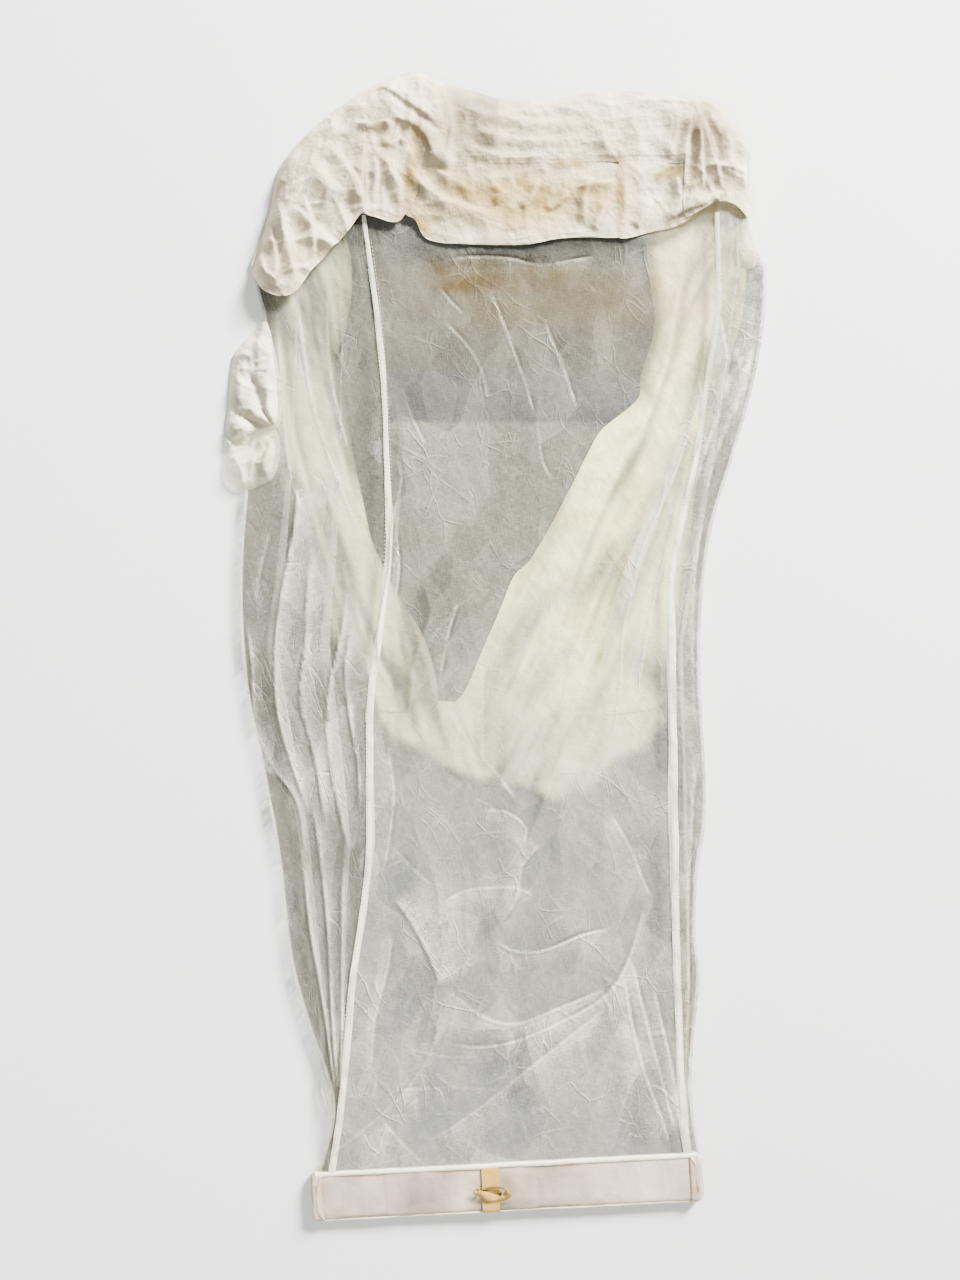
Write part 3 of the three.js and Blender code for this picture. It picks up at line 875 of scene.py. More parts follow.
# The back width's colour at each height.
BACK_TONES = [
    (-830, (0.23, 0.235, 0.23)), (-600, (0.19, 0.195, 0.19)), (-300, (0.19, 0.195, 0.18)),
    (-100, (0.15, 0.155, 0.13)), (40, (0.075, 0.075, 0.06)), (54, (0.07, 0.07, 0.055)),
    (60, (0.085, 0.083, 0.055)), (150, (0.08, 0.077, 0.055)), (158, (0.08, 0.073, 0.04)),
    (200, (0.075, 0.068, 0.04)), (230, (0.074, 0.07, 0.04)), (346, (0.088, 0.084, 0.052)),
    (350, (0.042, 0.043, 0.045)), (418, (0.05, 0.05, 0.048)), (430, (0.064, 0.055, 0.038)),
    (500, (0.074, 0.060, 0.040)), (540, (0.10, 0.08, 0.05)), (590, (0.10, 0.085, 0.055)),
    (610, (0.05, 0.05, 0.045)), (700, (0.05, 0.05, 0.045)),
]


def back_tone(x, y):
    """The back width has darkened in bands, most of all towards the head."""
    moved = y + 2.5 * cloudy(x, y, 160, 91, 3) + 0.02 * x
    heights = [at for at, _ in BACK_TONES]
    shades = np.array([shade for _, shade in BACK_TONES])
    tone = np.stack([np.interp(moved, heights, shades[:, k]) for k in range(3)], -1)
    tone = 0.85 * tone * stain(x, y, GAUZE_SPOTS)
    return tone * (1 + 0.12 * cloudy(x, y, 90, 83, 4))[..., None]


def make_back_gauze():
    x, y, _, cut_x = pleated(LEFT_SEAM, RIGHT_SEAM, 692.0, [], step=6)
    z = back_lie(x, y, 0.5, 60, 81)
    points, cut = np.stack([x, y, z], -1), np.stack([cut_x, y], -1)
    faces, tint = grid_faces(*x.shape), back_tone(x, y)
    piece = add_mesh("back_gauze_cloth", points, faces, BACK_GAUZE, tint, None, cut)
    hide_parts("back_gauze")
    cross_batten(piece)


LEFT_FOLDS = [
    ([(-296, -322), (-311, -238), (-350, -184), (-375, -115), (-380, -26), (-390, 43)], 8, 0.30, 1.0, 2.0),
    ([(-286, -273), (-316, -189), (-340, -100), (-343, -1), (-330, 98), (-310, 206), (-312, 300)],
     26, 0.75, 0.5, 3.4),
    ([(-262, -290), (-281, -174), (-303, -85), (-296, 4), (-292, 100), (-286, 160)], 22, 0.60, 0.5, 3.0),
    ([(-226, -330), (-250, -220), (-262, -140), (-258, -60), (-240, 20), (-232, 100)], 16, 0.50, 0.7, 2.8),
    ([(-212, -260), (-214, -190), (-226, -115), (-234, -36), (-222, 40)], 10, 0.45, 0.7, 2.4),
    ([(-250, -700), (-268, -560), (-290, -430), (-300, -330)], 14, 0.45, 0.8, 2.6),
    ([(-246, -700), (-256, -560), (-262, -430), (-276, -300), (-290, -230)], 12, 0.50, 0.9, 2.6),
    ([(-243, -690), (-240, -560), (-240, -430), (-238, -330)], 9, 0.40, 0.6, 2.2),
    ([(-254, -720), (-275, -640), (-310, -560), (-330, -480), (-338, -400)], 12, 0.30, 1.0, 2.0),
    ([(-262, -730), (-284, -650), (-300, -590)], 7, 0.40, 1.0, 1.8),
    ([(-352, 180), (-368, 120), (-376, 60)], 9, 0.12, 0.8, 1.4),
    ([(-340, 500), (-336, 420), (-330, 350), (-322, 280), (-300, 200)], 20, 0.50, 0.5, 2.8),
    ([(-310, 540), (-300, 460), (-286, 380), (-262, 300), (-232, 220), (-212, 170)], 18, 0.50, 0.6, 3.2),
    ([(-262, 560), (-262, 470), (-250, 380), (-226, 290)], 12, 0.30, 0.6, 2.4),
]
RIGHT_FOLDS = [
    ([(330, 560), (352, 480), (358, 420), (350, 380), (322, 300), (304, 240)], 12, 0.50, 0.9, 2.6),
    ([(400, 540), (392, 440), (370, 370), (340, 300), (322, 230)], 10, 0.40, 0.8, 2.6),
    ([(372, 470), (384, 400), (352, 340)], 8, 0.30, 0.8, 2.0),
    ([(318, 200), (306, 100), (304, 0), (306, -120)], 8, 0.30, 0.6, 2.0),
    ([(310, -160), (300, -300), (296, -440), (298, -560)], 8, 0.35, 0.8, 2.0),
    ([(296, -480), (294, -600), (292, -700), (302, -780)], 6, 0.30, 0.6, 1.8),
]


def make_side(name, seam, edge, side, pleats, top, folds):
    """A side panel: pleated front wing, rounded fold and plain back wing."""
    left, right = (edge, seam) if side < 0 else (seam, edge)
    x, y, lift, cut_x = pleated(left, right, top, pleats, step=2.9)
    if side < 0:
        x, y, lift, cut_x = x[:, ::-1], y[:, ::-1], lift[:, ::-1], cut_x[:, ::-1]
    seam_x, edge_x = seam(y), edge(y)
    reach = np.where(np.abs(edge_x - seam_x) < 1, 1, edge_x - seam_x)
    out = np.clip((x - seam_x) / reach, 0, 1.05)
    z = FRONT_LEVEL - 8.5 * out**1.6 + lift
    z = z + 1.3 * wrinkles(x, y, 15, 210, 9 if side < 0 else -6, 121 + side)
    z = z + 0.9 * wrinkles(x, y, 11, 120, -14, 131 + side)
    dense = 0.22 * wrinkles(x, y, 17, 260, 7 if side < 0 else -5, 141 + side, 2.0)
    bright = np.zeros_like(x)
    broken = np.clip(0.7 + 1.1 * cloudy(x, y, 40, 161, 3), 0.2, 1.25)
    for path, soft, veil_gain, ridge_gain, height in folds:
        veil, ridge, furrow = crease(x, y, path, soft, 2.2)
        z = z + height * (0.6 * ridge + 0.5 * veil) * smooth(1.02, 0.85, out)
        dense = dense + 3.0 * veil_gain * veil
        # bright: painted highlight on each ridge, painted shade in its furrow; it also thickens the gauze
        # there.
        bright = bright + (0.8 * ridge - 0.5 * furrow) * ridge_gain * broken
    z = z - foot_drop(y) * (1 - out)
    tint = creased_tint(x, y, SIDE_SPOTS, bright)
    if side < 0:
        base = 0.45 - 0.05 * smooth(-300, -420, y)
    else:
        base = 0.95 - 0.14 * smooth(60, -60, y)
    cover = np.clip(base + 0.85 * dense + 1.0 * bright, 0.2, 3.4)
    fold_x, fold_z, fold_y = [], [], []
    for a in np.linspace(0.25, 0.9, 5) * math.pi:
        middle = (z[:, -1] + 1.4) / 2
        half = (z[:, -1] - 1.4) / 2
        fold_x.append(edge_x[:, -1] - side * 3.5 + side * 3.5 * math.sin(a))
        fold_z.append(middle + half * math.cos(a))
        fold_y.append(y[:, -1])
    back = 14
    s = np.linspace(0, 1, back)
    back_x = (edge_x[:, -1:] - side * 4) * (1 - s) + seam(y[:, -1:]) * s
    back_y = np.repeat(y[:, -1:], back, axis=1)
    back_z = back_lie(back_x, back_y, 0.4, 50, 151)
    xs = np.concatenate([x, np.stack(fold_x, 1), back_x], 1)
    ys = np.concatenate([y, np.stack(fold_y, 1), back_y], 1)
    zs = np.concatenate([z, np.stack(fold_z, 1), back_z], 1)
    tone = 0.5 * back_tone(back_x, np.minimum(back_y, 340)) + np.array([0.07, 0.07, 0.06])
    fold_tint = np.repeat(tint[:, -1:], 5, axis=1)
    tints = np.concatenate([tint, fold_tint, tone], 1)
    covers = np.concatenate([cover, np.full((len(y), 5), 1.8), np.full(back_x.shape, 4.5)], 1)
    cuts = np.concatenate([[0], np.cumsum(np.abs(np.diff(xs[len(xs) // 2])))])
    cut = np.stack([np.broadcast_to(cuts, xs.shape), ys], -1)
    points, faces = np.stack([xs, ys, zs], -1), grid_faces(*xs.shape)
    piece = add_mesh(f"{name}_side_cloth", points, faces, GAUZE, tints, covers, cut)
    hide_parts(f"{name}_side_gauze")
    cross_batten(piece)
    round(area_of(points, faces) / 1.42, 3)


SIDE_SPOTS = [
    (-262, -700, 24, 110, -6, 0.35, BEIGE),
    (-300, 330, 40, 90, 0, 0.25, YELLOW),
    (296, -600, 16, 200, 0, 0.65, BEIGE),
    (-330, -300, 30, 200, 10, 0.10, BEIGE),
]


def make_sides():
    left = [
        (ramp((-815, -265), (-600, -270), (-300, -300), (0, -345), (300, -322), (585, -310)),
         ramp((-815, 2), (-650, 8), (-300, 16), (0, 16), (300, 8), (585, 0))),
        (ramp((-815, -260), (-600, -244), (-300, -232), (0, -262), (300, -246), (585, -240)),
         ramp((-815, 1), (-650, 4), (-300, 10), (0, 16), (250, 8), (500, 0))),
    ]
    make_side("left", LEFT_SEAM, LEFT_EDGE, -1, left, 690.0, LEFT_FOLDS)
    right = [
        (ramp((-785, 302), (-300, 292), (0, 290), (300, 330), (585, 372)),
         ramp((-785, 2), (-500, 6), (0, 7), (300, 12), (585, 4))),
    ]
    make_side("right", RIGHT_SEAM, RIGHT_EDGE, 1, right, 700.0, RIGHT_FOLDS)


make_front_gauze()
make_back_gauze()
make_sides()

# ---------------------------------------------------------------- Seam tapes


def make_tape(name, seam, top, level, node):
    """A narrow tape that lies along a seam, waving a little and dipping with the gauze."""
    width = 11.0
    rows = int((top - BAR_FOOT) / 3.5)
    across = np.linspace(-width / 2, width / 2, 7)
    y = np.linspace(0, 1, rows)
    low = float(bar_edge(seam(-790.0), -2))
    y = low + (top - low) * y
    seed = 201 + len(name)
    centre = seam(y) + 3.4 * cloudy(y, y * 0, 150, seed, 5)
    if "left" in name:
        centre = centre - 2.5 * smooth(150, 300, y)
    narrow = 0.90 + 0.30 * cloudy(y, y * 0, 160, seed + 4, 5) - 0.16 * smooth(100, 500, y)
    x = centre[:, None] + across * narrow[:, None]
    ys = np.repeat(y[:, None], 7, axis=1)
    crown = 0.5 * (1 - (across / (width / 2)) ** 2)
    z = level(x, ys) + crown + 1.1 * cloudy(ys + x, x, 26, 207, 3)
    cut = np.stack([np.broadcast_to(across, x.shape), ys], -1)
    wear_and_shade = 1 - 0.55 * np.clip(cloudy(ys, x * 2.6, 60, seed + 9, 4), 0, 1)
    if "right" in name:
        wear_and_shade = wear_and_shade * (1 - 0.35 * smooth(240, 380, ys))
    tint = stain(x, ys, GAUZE_SPOTS) * wear_and_shade[..., None]
    if "left" in name:
        tint = tint * (1 - 0.22 * smooth(250, 500, ys))[..., None]
    stitch_row = np.exp(-((np.abs(across) - width * 0.38) ** 2) / 1.2)
    tint = tint * (1 - 0.10 * stitch_row)[None, :, None]
    points = np.stack([x, ys, z], -1)
    piece = add_mesh(name, points, grid_faces(*x.shape), TAPE, tint, None, cut)
    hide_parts(node)
    cross_batten(piece)


def front_level(x, y):
    z, _, _ = front_height(x, y)
    return z - foot_drop(y) + 1.3


def back_level(x, y):
    return np.full_like(x, 2.9)


make_tape("left_front_tape_cloth", LEFT_SEAM, 668.0, front_level, "left_front_tape")
make_tape("right_front_tape_cloth", RIGHT_SEAM, 672.0, front_level, "right_front_tape")
make_tape("left_back_tape_cloth", LEFT_SEAM, 590.0, back_level, "left_back_tape")
make_tape("right_back_tape_cloth", RIGHT_SEAM, 590.0, back_level, "right_back_tape")


def tape_row(seam, side, top):
    """A path just inside one edge of a seam tape."""
    y = np.arange(-735.0, top, 20.0)
    return np.stack([seam(y) + 4.2 * side, y], -1)


# ---------------------------------------------------------------- Inner lining

LINING_LEFT = [
    (-352, 600), (-340, 640), (-300, 652), (-244, 652), (-230, 620), (-226, 560), (-236, 491),
    (-252, 444), (-238, 382), (-225, 305), (-208, 225), (-194, 165), (-158, 88), (-112, 10),
    (-92, -70), (-96, -96), (-200, -98), (-234, -84), (-262, 20), (-290, 110), (-322, 200),
    (-350, 290), (-358, 420),
]
LINING_RIGHT = [
    (228, 650), (236, 684), (300, 696), (374, 692), (388, 640), (384, 520), (345, 400), (322, 300),
    (305, 200), (296, 100), (280, 0), (262, -84), (240, -98), (-70, -98), (-50, -70), (-22, -5),
    (5, 57), (28, 111), (51, 134), (113, 243), (144, 305), (162, 336), (222, 390), (224, 420),
    (246, 500),
]
LINING_LOWER = [
    (-196, -80), (-100, -84), (-60, -86), (0, -80), (120, -78), (236, -80), (262, -112),
    (236, -165), (190, -216), (130, -252), (82, -264), (20, -242), (-30, -228), (-104, -186),
    (-172, -162), (-204, -120),
]


LINING_LEVEL = 5.0


def lining_tone(x, y):
    """The lining is yellow-white on its right, greyer on its left and at its foot, with long streaks of
    painted light and shade along its folds.
    """
    left = smooth(30, -110, x)[..., None]
    low = smooth(0, -130, y)[..., None]
    tone = np.array([1.0, 0.99, 0.84]) * (1 - left) + np.array([0.66, 0.66, 0.68]) * left
    tone = tone * (1 - low) + np.array([0.68, 0.72, 0.74]) * low
    upper = smooth(330, 480, y)[..., None] * (1 - left)
    tone = tone * (1 - upper) + np.array([0.96, 0.86, 0.76]) * upper
    # run and fine are painted light and shade in long streaks along the folds; the cloudy term is uneven
    # tone.
    run = np.where(x < -20, 1.7 * streaks(x, y, -16, 24, 307), streaks(x, y, 27, 30, 309))
    fine = np.where(x < -20, streaks(x, y, -12, 9, 311), streaks(x, y, 24, 10, 313))
    wear_and_shade = 1 + 0.95 * run + 0.35 * fine + 0.4 * cloudy(x, y, 70, 315, 4)
    return tone * np.clip(wear_and_shade, 0.28, 1.25)[..., None]


def make_lining(name, outline, node, fade, seed):
    points, faces, loop = patch(outline, 4.5)
    x, y = points.T
    edge, _, _ = to_line(x, y, loop, closed=True)
    z = LINING_LEVEL + 1.6 * wrinkles(x, y, 30, 90, 25, seed) + 1.4 * wrinkles(x, y, 24, 70, -30, seed + 9)
    z = z + 0.8 * cloudy(x, y, 30, seed + 3, 3)
    cover = fade(x, y, edge) * (1 + 0.10 * cloudy(x, y, 60, seed + 5, 3))
    rim = np.exp(-edge / 9) * smooth(-60, 20, y)
    tint = (1 - rim[:, None] * (1 - np.array([0.97, 0.93, 0.80]))) * lining_tone(x, y)
    tint = tint * stain(x, y, LINING_SPOTS)
    for path, soft in LINING_FOLDS:
        _, ridge, furrow = crease(x, y, path, soft, 5.0)
        # Painted shade in each fold's furrow and a painted highlight on its ridge.
        tint = tint * (1 - 0.5 * furrow + 0.15 * ridge)[:, None]
        z = z + 1.5 * ridge
    full = np.column_stack([x, y, z])
    piece = add_mesh(name, full, faces, LINING, tint, cover)
    settle(piece, "calico", "suit", node)
    under = ["back_gauze_cloth"]
    declare_panel(piece, loop, full, faces, (1.06, 1.06), "laid", rests_on=under)


# A lining fold is (path, softness).
LINING_FOLDS = [
    ([(-352, 540), (-336, 440), (-322, 340), (-296, 240), (-270, 140)], 18),
    ([(-300, 570), (-290, 470), (-266, 380), (-246, 300), (-220, 200)], 18),
    ([(-262, 560), (-252, 480), (-262, 400)], 14),
    ([(-250, 160), (-226, 70), (-190, -20), (-150, -90)], 20),
    ([(300, 640), (282, 540), (262, 440), (222, 330), (170, 220)], 22),
    ([(214, 330), (176, 250), (140, 170), (100, 60)], 16),
    ([(264, 300), (246, 200), (204, 90), (170, 0)], 20),
    ([(196, 160), (160, 90), (124, 0)], 14),
]
LINING_SPOTS = [
    (150, 202, 90, 12, 0, 0.35, BEIGE),
    (180, 372, 66, 20, 36, 0.90, (0.98, 0.86, 0.42)),
    (206, 330, 50, 8, 36, 0.70, (0.62, 0.52, 0.26)),
    (212, 440, 14, 70, -4, 0.60, (0.70, 0.60, 0.34)),
    (252, 560, 30, 60, 0, 0.50, (0.76, 0.68, 0.58)),
    (286, 480, 12, 110, -6, 0.45, (0.62, 0.58, 0.52)),
    (232, 250, 30, 120, -22, 0.30, BEIGE),
    (190, 372, 60, 16, 40, 0.45, (0.98, 0.88, 0.50)),
    (150, 120, 70, 160, -25, 0.20, YELLOW),
    (-266, 80, 44, 120, 6, 0.60, YELLOW),
    # A dark grey stripe near the inner edge of the left lining.
    (-126, -36, 26, 96, -14, 1.00, (0.36, 0.37, 0.32)),
    (-330, 470, 26, 120, 8, 0.45, (0.60, 0.60, 0.60)),
    (-212, 420, 16, 120, -6, 0.35, (0.60, 0.58, 0.52)),
    (-232, 520, 20, 90, 4, 0.35, BEIGE),
    (-300, 470, 30, 140, 8, 0.25, (0.86, 0.87, 0.90)),
]


def fade_left(x, y, edge):
    line = [(-360, 560), (-362, 400), (-352, 290), (-318, 190), (-286, 90), (-255, 0), (-225, -80)]
    outer, _, _ = to_line(x, y, line)
    soft = 34 + 16 * cloudy(x, y, 60, 331, 3)
    inner = 0.45 + 0.55 * np.maximum(smooth(0, 20, edge), smooth(330, 230, y))
    return smooth(0, 1, outer / soft) * smooth(0, 4, edge + 2) * inner


def fade_right(x, y, edge):
    line = [(372, 566), (345, 400), (322, 300), (305, 200), (296, 100), (280, 0), (262, -70)]
    outer, _, _ = to_line(x, y, line)
    lower = smooth(40, -60, y) * smooth(205, 262, x + 0.9 * (y + 60) + 14 * cloudy(x, y, 40, 361, 2))
    away = np.maximum(smooth(420, 360, y), smooth(280, 300, x))
    inner = 0.10 + 0.90 * np.maximum(smooth(0, 34, edge), away)
    return (0.35 + 0.65 * smooth(0, 26, outer)) * (1 - 0.85 * lower) * inner


def fade_lower(x, y, edge):
    ragged = 14 + 20 * cloudy(x, y, 60, 351, 2)
    return np.maximum(smooth(0, 26, edge - ragged + 8), smooth(-130, -110, y)) * 0.96


make_lining("lining_left_cloth", LINING_LEFT, "lining_left", fade_left, 301)
make_lining("lining_right_cloth", LINING_RIGHT, "lining_right", fade_right, 321)
make_lining("lining_lower_cloth", LINING_LOWER, "lining_lower", fade_lower, 341)

# ---------------------------------------------------------------- Yoke

YOKE_SILHOUETTE = rounded_path(
    [
        (-376, 560), (-384, 580), (-366, 640), (-353, 689), (-339, 746), (-296, 801), (-234, 850),
        (-180, 880), (-118, 896), (-65, 876), (0, 852), (26, 849), (98, 852), (163, 863),
        (243, 859), (324, 855), (353, 842), (380, 806), (395, 779), (394, 746), (400, 700),
        (396, 664), (398, 625),
    ],
    12,
)

# A yoke fold is (path, softness, height, dirt and painted shade in its furrow).
YOKE_FOLDS = [
    ([(-96, 872), (-81, 829), (-76, 802), (-83, 760), (-75, 733)], 26, 9.0, 0.5),
    ([(-78, 797), (-115, 824), (-142, 845), (-174, 866), (-200, 862)], 14, 5.0, 0.3),
    ([(-105, 745), (-99, 765), (-121, 802), (-169, 821)], 16, 6.0, 0.4),
    ([(-222, 810), (-196, 805), (-174, 810), (-158, 802)], 9, 6.0, 0.5),
    ([(-180, 790), (-164, 776), (-150, 784), (-134, 772)], 8, 5.0, 0.5),
    ([(-204, 800), (-207, 733), (-206, 669)], 12, 5.0, 0.7),
    ([(-169, 770), (-164, 733), (-148, 706), (-158, 674)], 12, 6.0, 0.5),
    ([(-128, 780), (-132, 740), (-118, 716), (-100, 700)], 9, 5.0, 0.4),
    ([(-188, 760), (-184, 720), (-190, 680)], 8, 4.0, 0.3),
    ([(-270, 781), (-238, 749), (-217, 706), (-212, 680)], 16, 6.0, 0.5),
    ([(-345, 700), (-329, 658), (-318, 610), (-310, 556)], 12, 7.0, 0.6),
    ([(-324, 685), (-292, 658), (-260, 626), (-238, 612)], 14, 5.0, 0.4),
    ([(-366, 612), (-356, 578), (-329, 559)], 8, 5.0, 0.5),
    ([(-292, 808), (-313, 770), (-334, 728), (-348, 690)], 14, 5.0, 0.4),
    ([(-276, 802), (-284, 760), (-265, 717), (-222, 685)], 18, 5.0, 0.4),
    ([(-360, 668), (-344, 620), (-340, 580), (-344, 556)], 9, 5.0, 0.4),
    ([(-300, 700), (-282, 640), (-284, 590)], 9, 4.0, 0.3),
    ([(-250, 846), (-222, 836), (-200, 842)], 9, 3.5, 0.3),
    ([(-57, 781), (-25, 765), (29, 754), (103, 760)], 11, 4.0, 0.35),
    ([(-46, 802), (7, 786), (61, 781), (130, 786)], 12, 3.5, 0.3),
    ([(-3, 824), (61, 808), (135, 818)], 13, 3.0, 0.25),
    ([(162, 812), (168, 776), (186, 752)], 10, 3.5, 0.35),
    ([(282, 846), (276, 792), (264, 750)], 13, 4.5, 0.4),
    ([(-99, 735), (-67, 722), (-30, 696)], 10, 4.5, 0.5),
    ([(-121, 728), (-94, 696), (-57, 680), (7, 658)], 14, 6.0, 0.4),
    ([(66, 724), (55, 696), (40, 672)], 8, 4.0, 0.4),
    ([(114, 704), (98, 686), (74, 672)], 8, 3.5, 0.4),
    ([(152, 724), (136, 696), (136, 646)], 10, 5.0, 0.45),
    ([(170, 690), (160, 662), (150, 640)], 8, 4.0, 0.35),
    ([(120, 708), (156, 716), (188, 722)], 8, 3.5, 0.3),
    ([(-10, 722), (10, 700), (-4, 680)], 8, 3.0, 0.3),
    ([(242, 690), (228, 664), (214, 645)], 9, 4.0, 0.3),
    ([(269, 740), (284, 690), (264, 650)], 12, 4.5, 0.35),
    ([(304, 836), (292, 776), (290, 692)], 12, 6.5, 0.5),
    ([(306, 830), (328, 770), (349, 698)], 13, 7.0, 0.5),
    ([(320, 832), (358, 781), (366, 718)], 13, 7.0, 0.5),
    ([(344, 834), (386, 782), (386, 704)], 11, 6.0, 0.5),
    ([(312, 812), (314, 760), (318, 700)], 9, 5.0, 0.4),
    ([(350, 704), (338, 690), (296, 676), (262, 660)], 9, 4.0, 0.4),
    ([(300, 842), (262, 846), (214, 846)], 9, 3.0, 0.3),
]


def crumpled(x, y, size, seed):
    """Rounded ridges that branch and turn, -1 to 1."""
    turned_x = x + 0.45 * size * cloudy(x, y, size * 1.6, seed, 2)
    turned_y = y + 0.45 * size * cloudy(x, y, size * 1.6, seed + 3, 2)
    first = noise(turned_x / size, turned_y / size, seed + 6)
    second = noise(turned_x / size * 0.7 + 9, turned_y / size * 1.3, seed + 7)
    return 1 - 1.7 * np.minimum(np.abs(first), np.abs(second) + 0.12) ** 0.8


def yoke_height(x, y):
    """The lie of the yoke's upper cloth, and how much dirt and painted shade its furrows hold."""
    edge, _, _ = to_line(x, y, YOKE_SILHOUETTE)
    mouth = smooth(-70, -20, x) * smooth(300, 260, x) * smooth(780, 840, y)
    rise = 1 - np.exp(-edge / 15)
    floor_side = 2.5 + (23.5 - 2.5) * rise
    open_side = 13 + 11 * rise
    z = floor_side * (1 - mouth) + open_side * mouth
    left = smooth(-90, -170, x)
    right = smooth(270, 310, x)
    busy = np.maximum(left, right)
    free = smooth(0, 14, edge)
    z = z + 2.0 * busy * rise
    z = z + (1.4 + 3.0 * busy) * crumpled(x, y, 70, 401) * free
    z = z + (0.8 + 0.8 * busy) * crumpled(x, y, 34, 415) * free
    z = z + 0.4 * crumpled(x, y, 14, 431) * free
    z = z + (0.9 + 2.4 * busy) * wrinkles(x, y, 26, 120, -35, 411, 2.0) * rise
    z = z + 0.9 * wrinkles(x, y, 22, 90, 84, 431, 2.0) * smooth(748, 760, y) * rise
    # furrows: dirt and painted shade in the hollows of the crumples and in each fold's furrow.
    furrows = 0.25 * np.clip(0.5 - crumpled(x, y, 70, 401), 0, 1)
    furrows = furrows + 0.16 * cloudy(x, y, 60, 451, 4)
    bent_x = x + 14 * cloudy(x, y, 60, 461, 2)
    bent_y = y + 14 * cloudy(x, y, 60, 465, 2)
    across = bent_x - 0.55 * (bent_y - 740) * left + 0.25 * (bent_y - 700) * (1 - busy)
    z = z + (2.0 + 4.5 * busy) * (np.maximum(cells(across, bent_y * 0.6, 62, 471), 0.2) - 0.4) * free
    z = z + (1.9 + 2.0 * busy) * (np.maximum(cells(across, bent_y * 0.45, 29, 473), 0.28) - 0.4) * free
    z = z + (0.7 + 0.9 * busy) * (np.maximum(cells(across, bent_y * 0.55, 14, 479), 0.3) - 0.4) * free
    upper = smooth(752, 770, y) * smooth(-60, -20, x) * smooth(290, 240, x)
    z = z + 1.6 * upper * (cells(bent_x * 0.35, bent_y, 17, 475) - 0.4) * free
    furrows = furrows + 0.18 * upper * (0.45 - cells(bent_x * 0.35, bent_y, 17, 475))
    furrows = furrows + (0.05 + 0.14 * busy) * (0.45 - cells(bent_x, bent_y * 0.7, 62, 471))
    for path, soft, height, dirt_and_shade in YOKE_FOLDS:
        _, _, furrow = crease(x, y, path, soft, 2.2)
        crest = fold(x, y, path, soft * 1.15, 0.30)
        z = z + 1.1 * height * crest * rise
        furrows = furrows + 0.9 * dirt_and_shade * furrow * np.clip(0.6 + cloudy(x, y, 30, 481, 3), 0.1, 1.3)
    return np.clip(z, 1.2, 49.0), furrows


LIGHT_WAY = (0.63, 0.77)  # towards the key light, over the floor


def painted_slope_light(height, x, y, gain, low=0.55, high=1.12):
    """Painted light and shade: cloth is paler on slopes that face the key light and greyer in the lee of
    its creases.
    """
    reach = 1.5
    z = height(x, y)
    fall_x, fall_y = z - height(x + reach, y), z - height(x, y + reach)
    lean = (LIGHT_WAY[0] * fall_x + LIGHT_WAY[1] * fall_y) / reach
    return np.clip(1 + gain * lean, low, high)


def make_yoke_piece(name, outline, node, body, raise_by, hem, slot="calico"):
    points, faces, loop = patch(outline, 2.6)
    x, y = points.T
    z, furrows = yoke_height(x, y)
    free, _, _ = to_line(x, y, rounded_path(hem, 12))
    z = z + raise_by - 1.8 * np.exp(-free / 2.0) - 1.0 * np.exp(-(((free - 6) / 1.6) ** 2))
    rim, _, _ = to_line(x, y, YOKE_SILHOUETTE)
    # Painted light and shade by slope, kept off the rim.
    shade = 1 + (painted_slope_light(yoke_level, x, y, 0.85, 0.6) - 1) * smooth(3, 26, rim)
    # Painted shade: a darker patch on the yoke from x -92 to 5, from y 745 upwards.
    inner = smooth(-92, -74, x) * smooth(5, 0, x) * smooth(745, 785, y)
    shade = shade * (1 - 0.36 * inner)
    dirt_and_shade = np.clip(1 - furrows[:, None] * np.array([0.85, 0.95, 1.10]), 0.25, 1.3)
    tint = 1.04 * (stain(x, y, YOKE_SPOTS) * dirt_and_shade) * shade[:, None]
    full = np.column_stack([x, y, z])
    piece = add_mesh(name, full, faces, CALICO, tint)
    settle(piece, slot, body, node)
    under = ["front_gauze_cloth"]
    declare_panel(piece, loop, full, faces, (1.1, 1.1), "laid", rests_on=under)


LEFT_SHOULDER = [
    (-376, 572), (-358, 549), (-330, 541), (-310, 548), (-288, 578), (-251, 618), (-228, 642),
    (-208, 667), (-194, 664), (-153, 655), (-138, 672), (-122, 700), (-118, 735), (-108, 770),
    (-96, 810), (-96, 872), (-118, 896), (-180, 880), (-234, 850), (-296, 801), (-339, 746),
    (-353, 689), (-366, 640), (-383, 590),
]
FRONT_FLAP = [
    (-141, 668), (-127, 660), (-112, 633), (-88, 625), (-40, 622), (5, 621), (51, 622), (98, 631),
    (144, 633), (178, 632), (190, 634), (192, 690), (191, 742), (178, 747), (98, 747), (0, 745),
    (-104, 747), (-122, 742), (-134, 706),
]
SIDE_PANEL = [
    (188, 633), (237, 641), (284, 653), (304, 668), (302, 710), (300, 748), (290, 754), (240, 756),
    (196, 754), (188, 746), (187, 690),
]
TOP_PANEL = [
    (-126, 735), (-104, 741), (0, 743), (98, 744), (160, 748), (240, 749), (296, 748), (306, 760),
    (308, 800), (304, 834), (290, 850), (243, 859), (163, 863), (98, 852), (26, 849), (0, 852),
    (-65, 874), (-100, 880), (-112, 856), (-116, 800),
]
RIGHT_SHOULDER = [
    (292, 664), (315, 673), (339, 686), (365, 684), (392, 668), (399, 690), (398, 720), (394, 746),
    (395, 779), (380, 806), (353, 842), (324, 853), (298, 850), (290, 832), (290, 760),
]

BACK_YOKE = [
    (-372, 600), (-180, 588), (0, 588), (180, 588), (372, 600), (393, 664), (394, 740), (370, 806),
    (320, 848), (243, 855), (163, 858), (98, 848), (0, 846), (-65, 870), (-118, 890), (-180, 874),
    (-234, 844), (-296, 795), (-339, 740), (-358, 680),
]


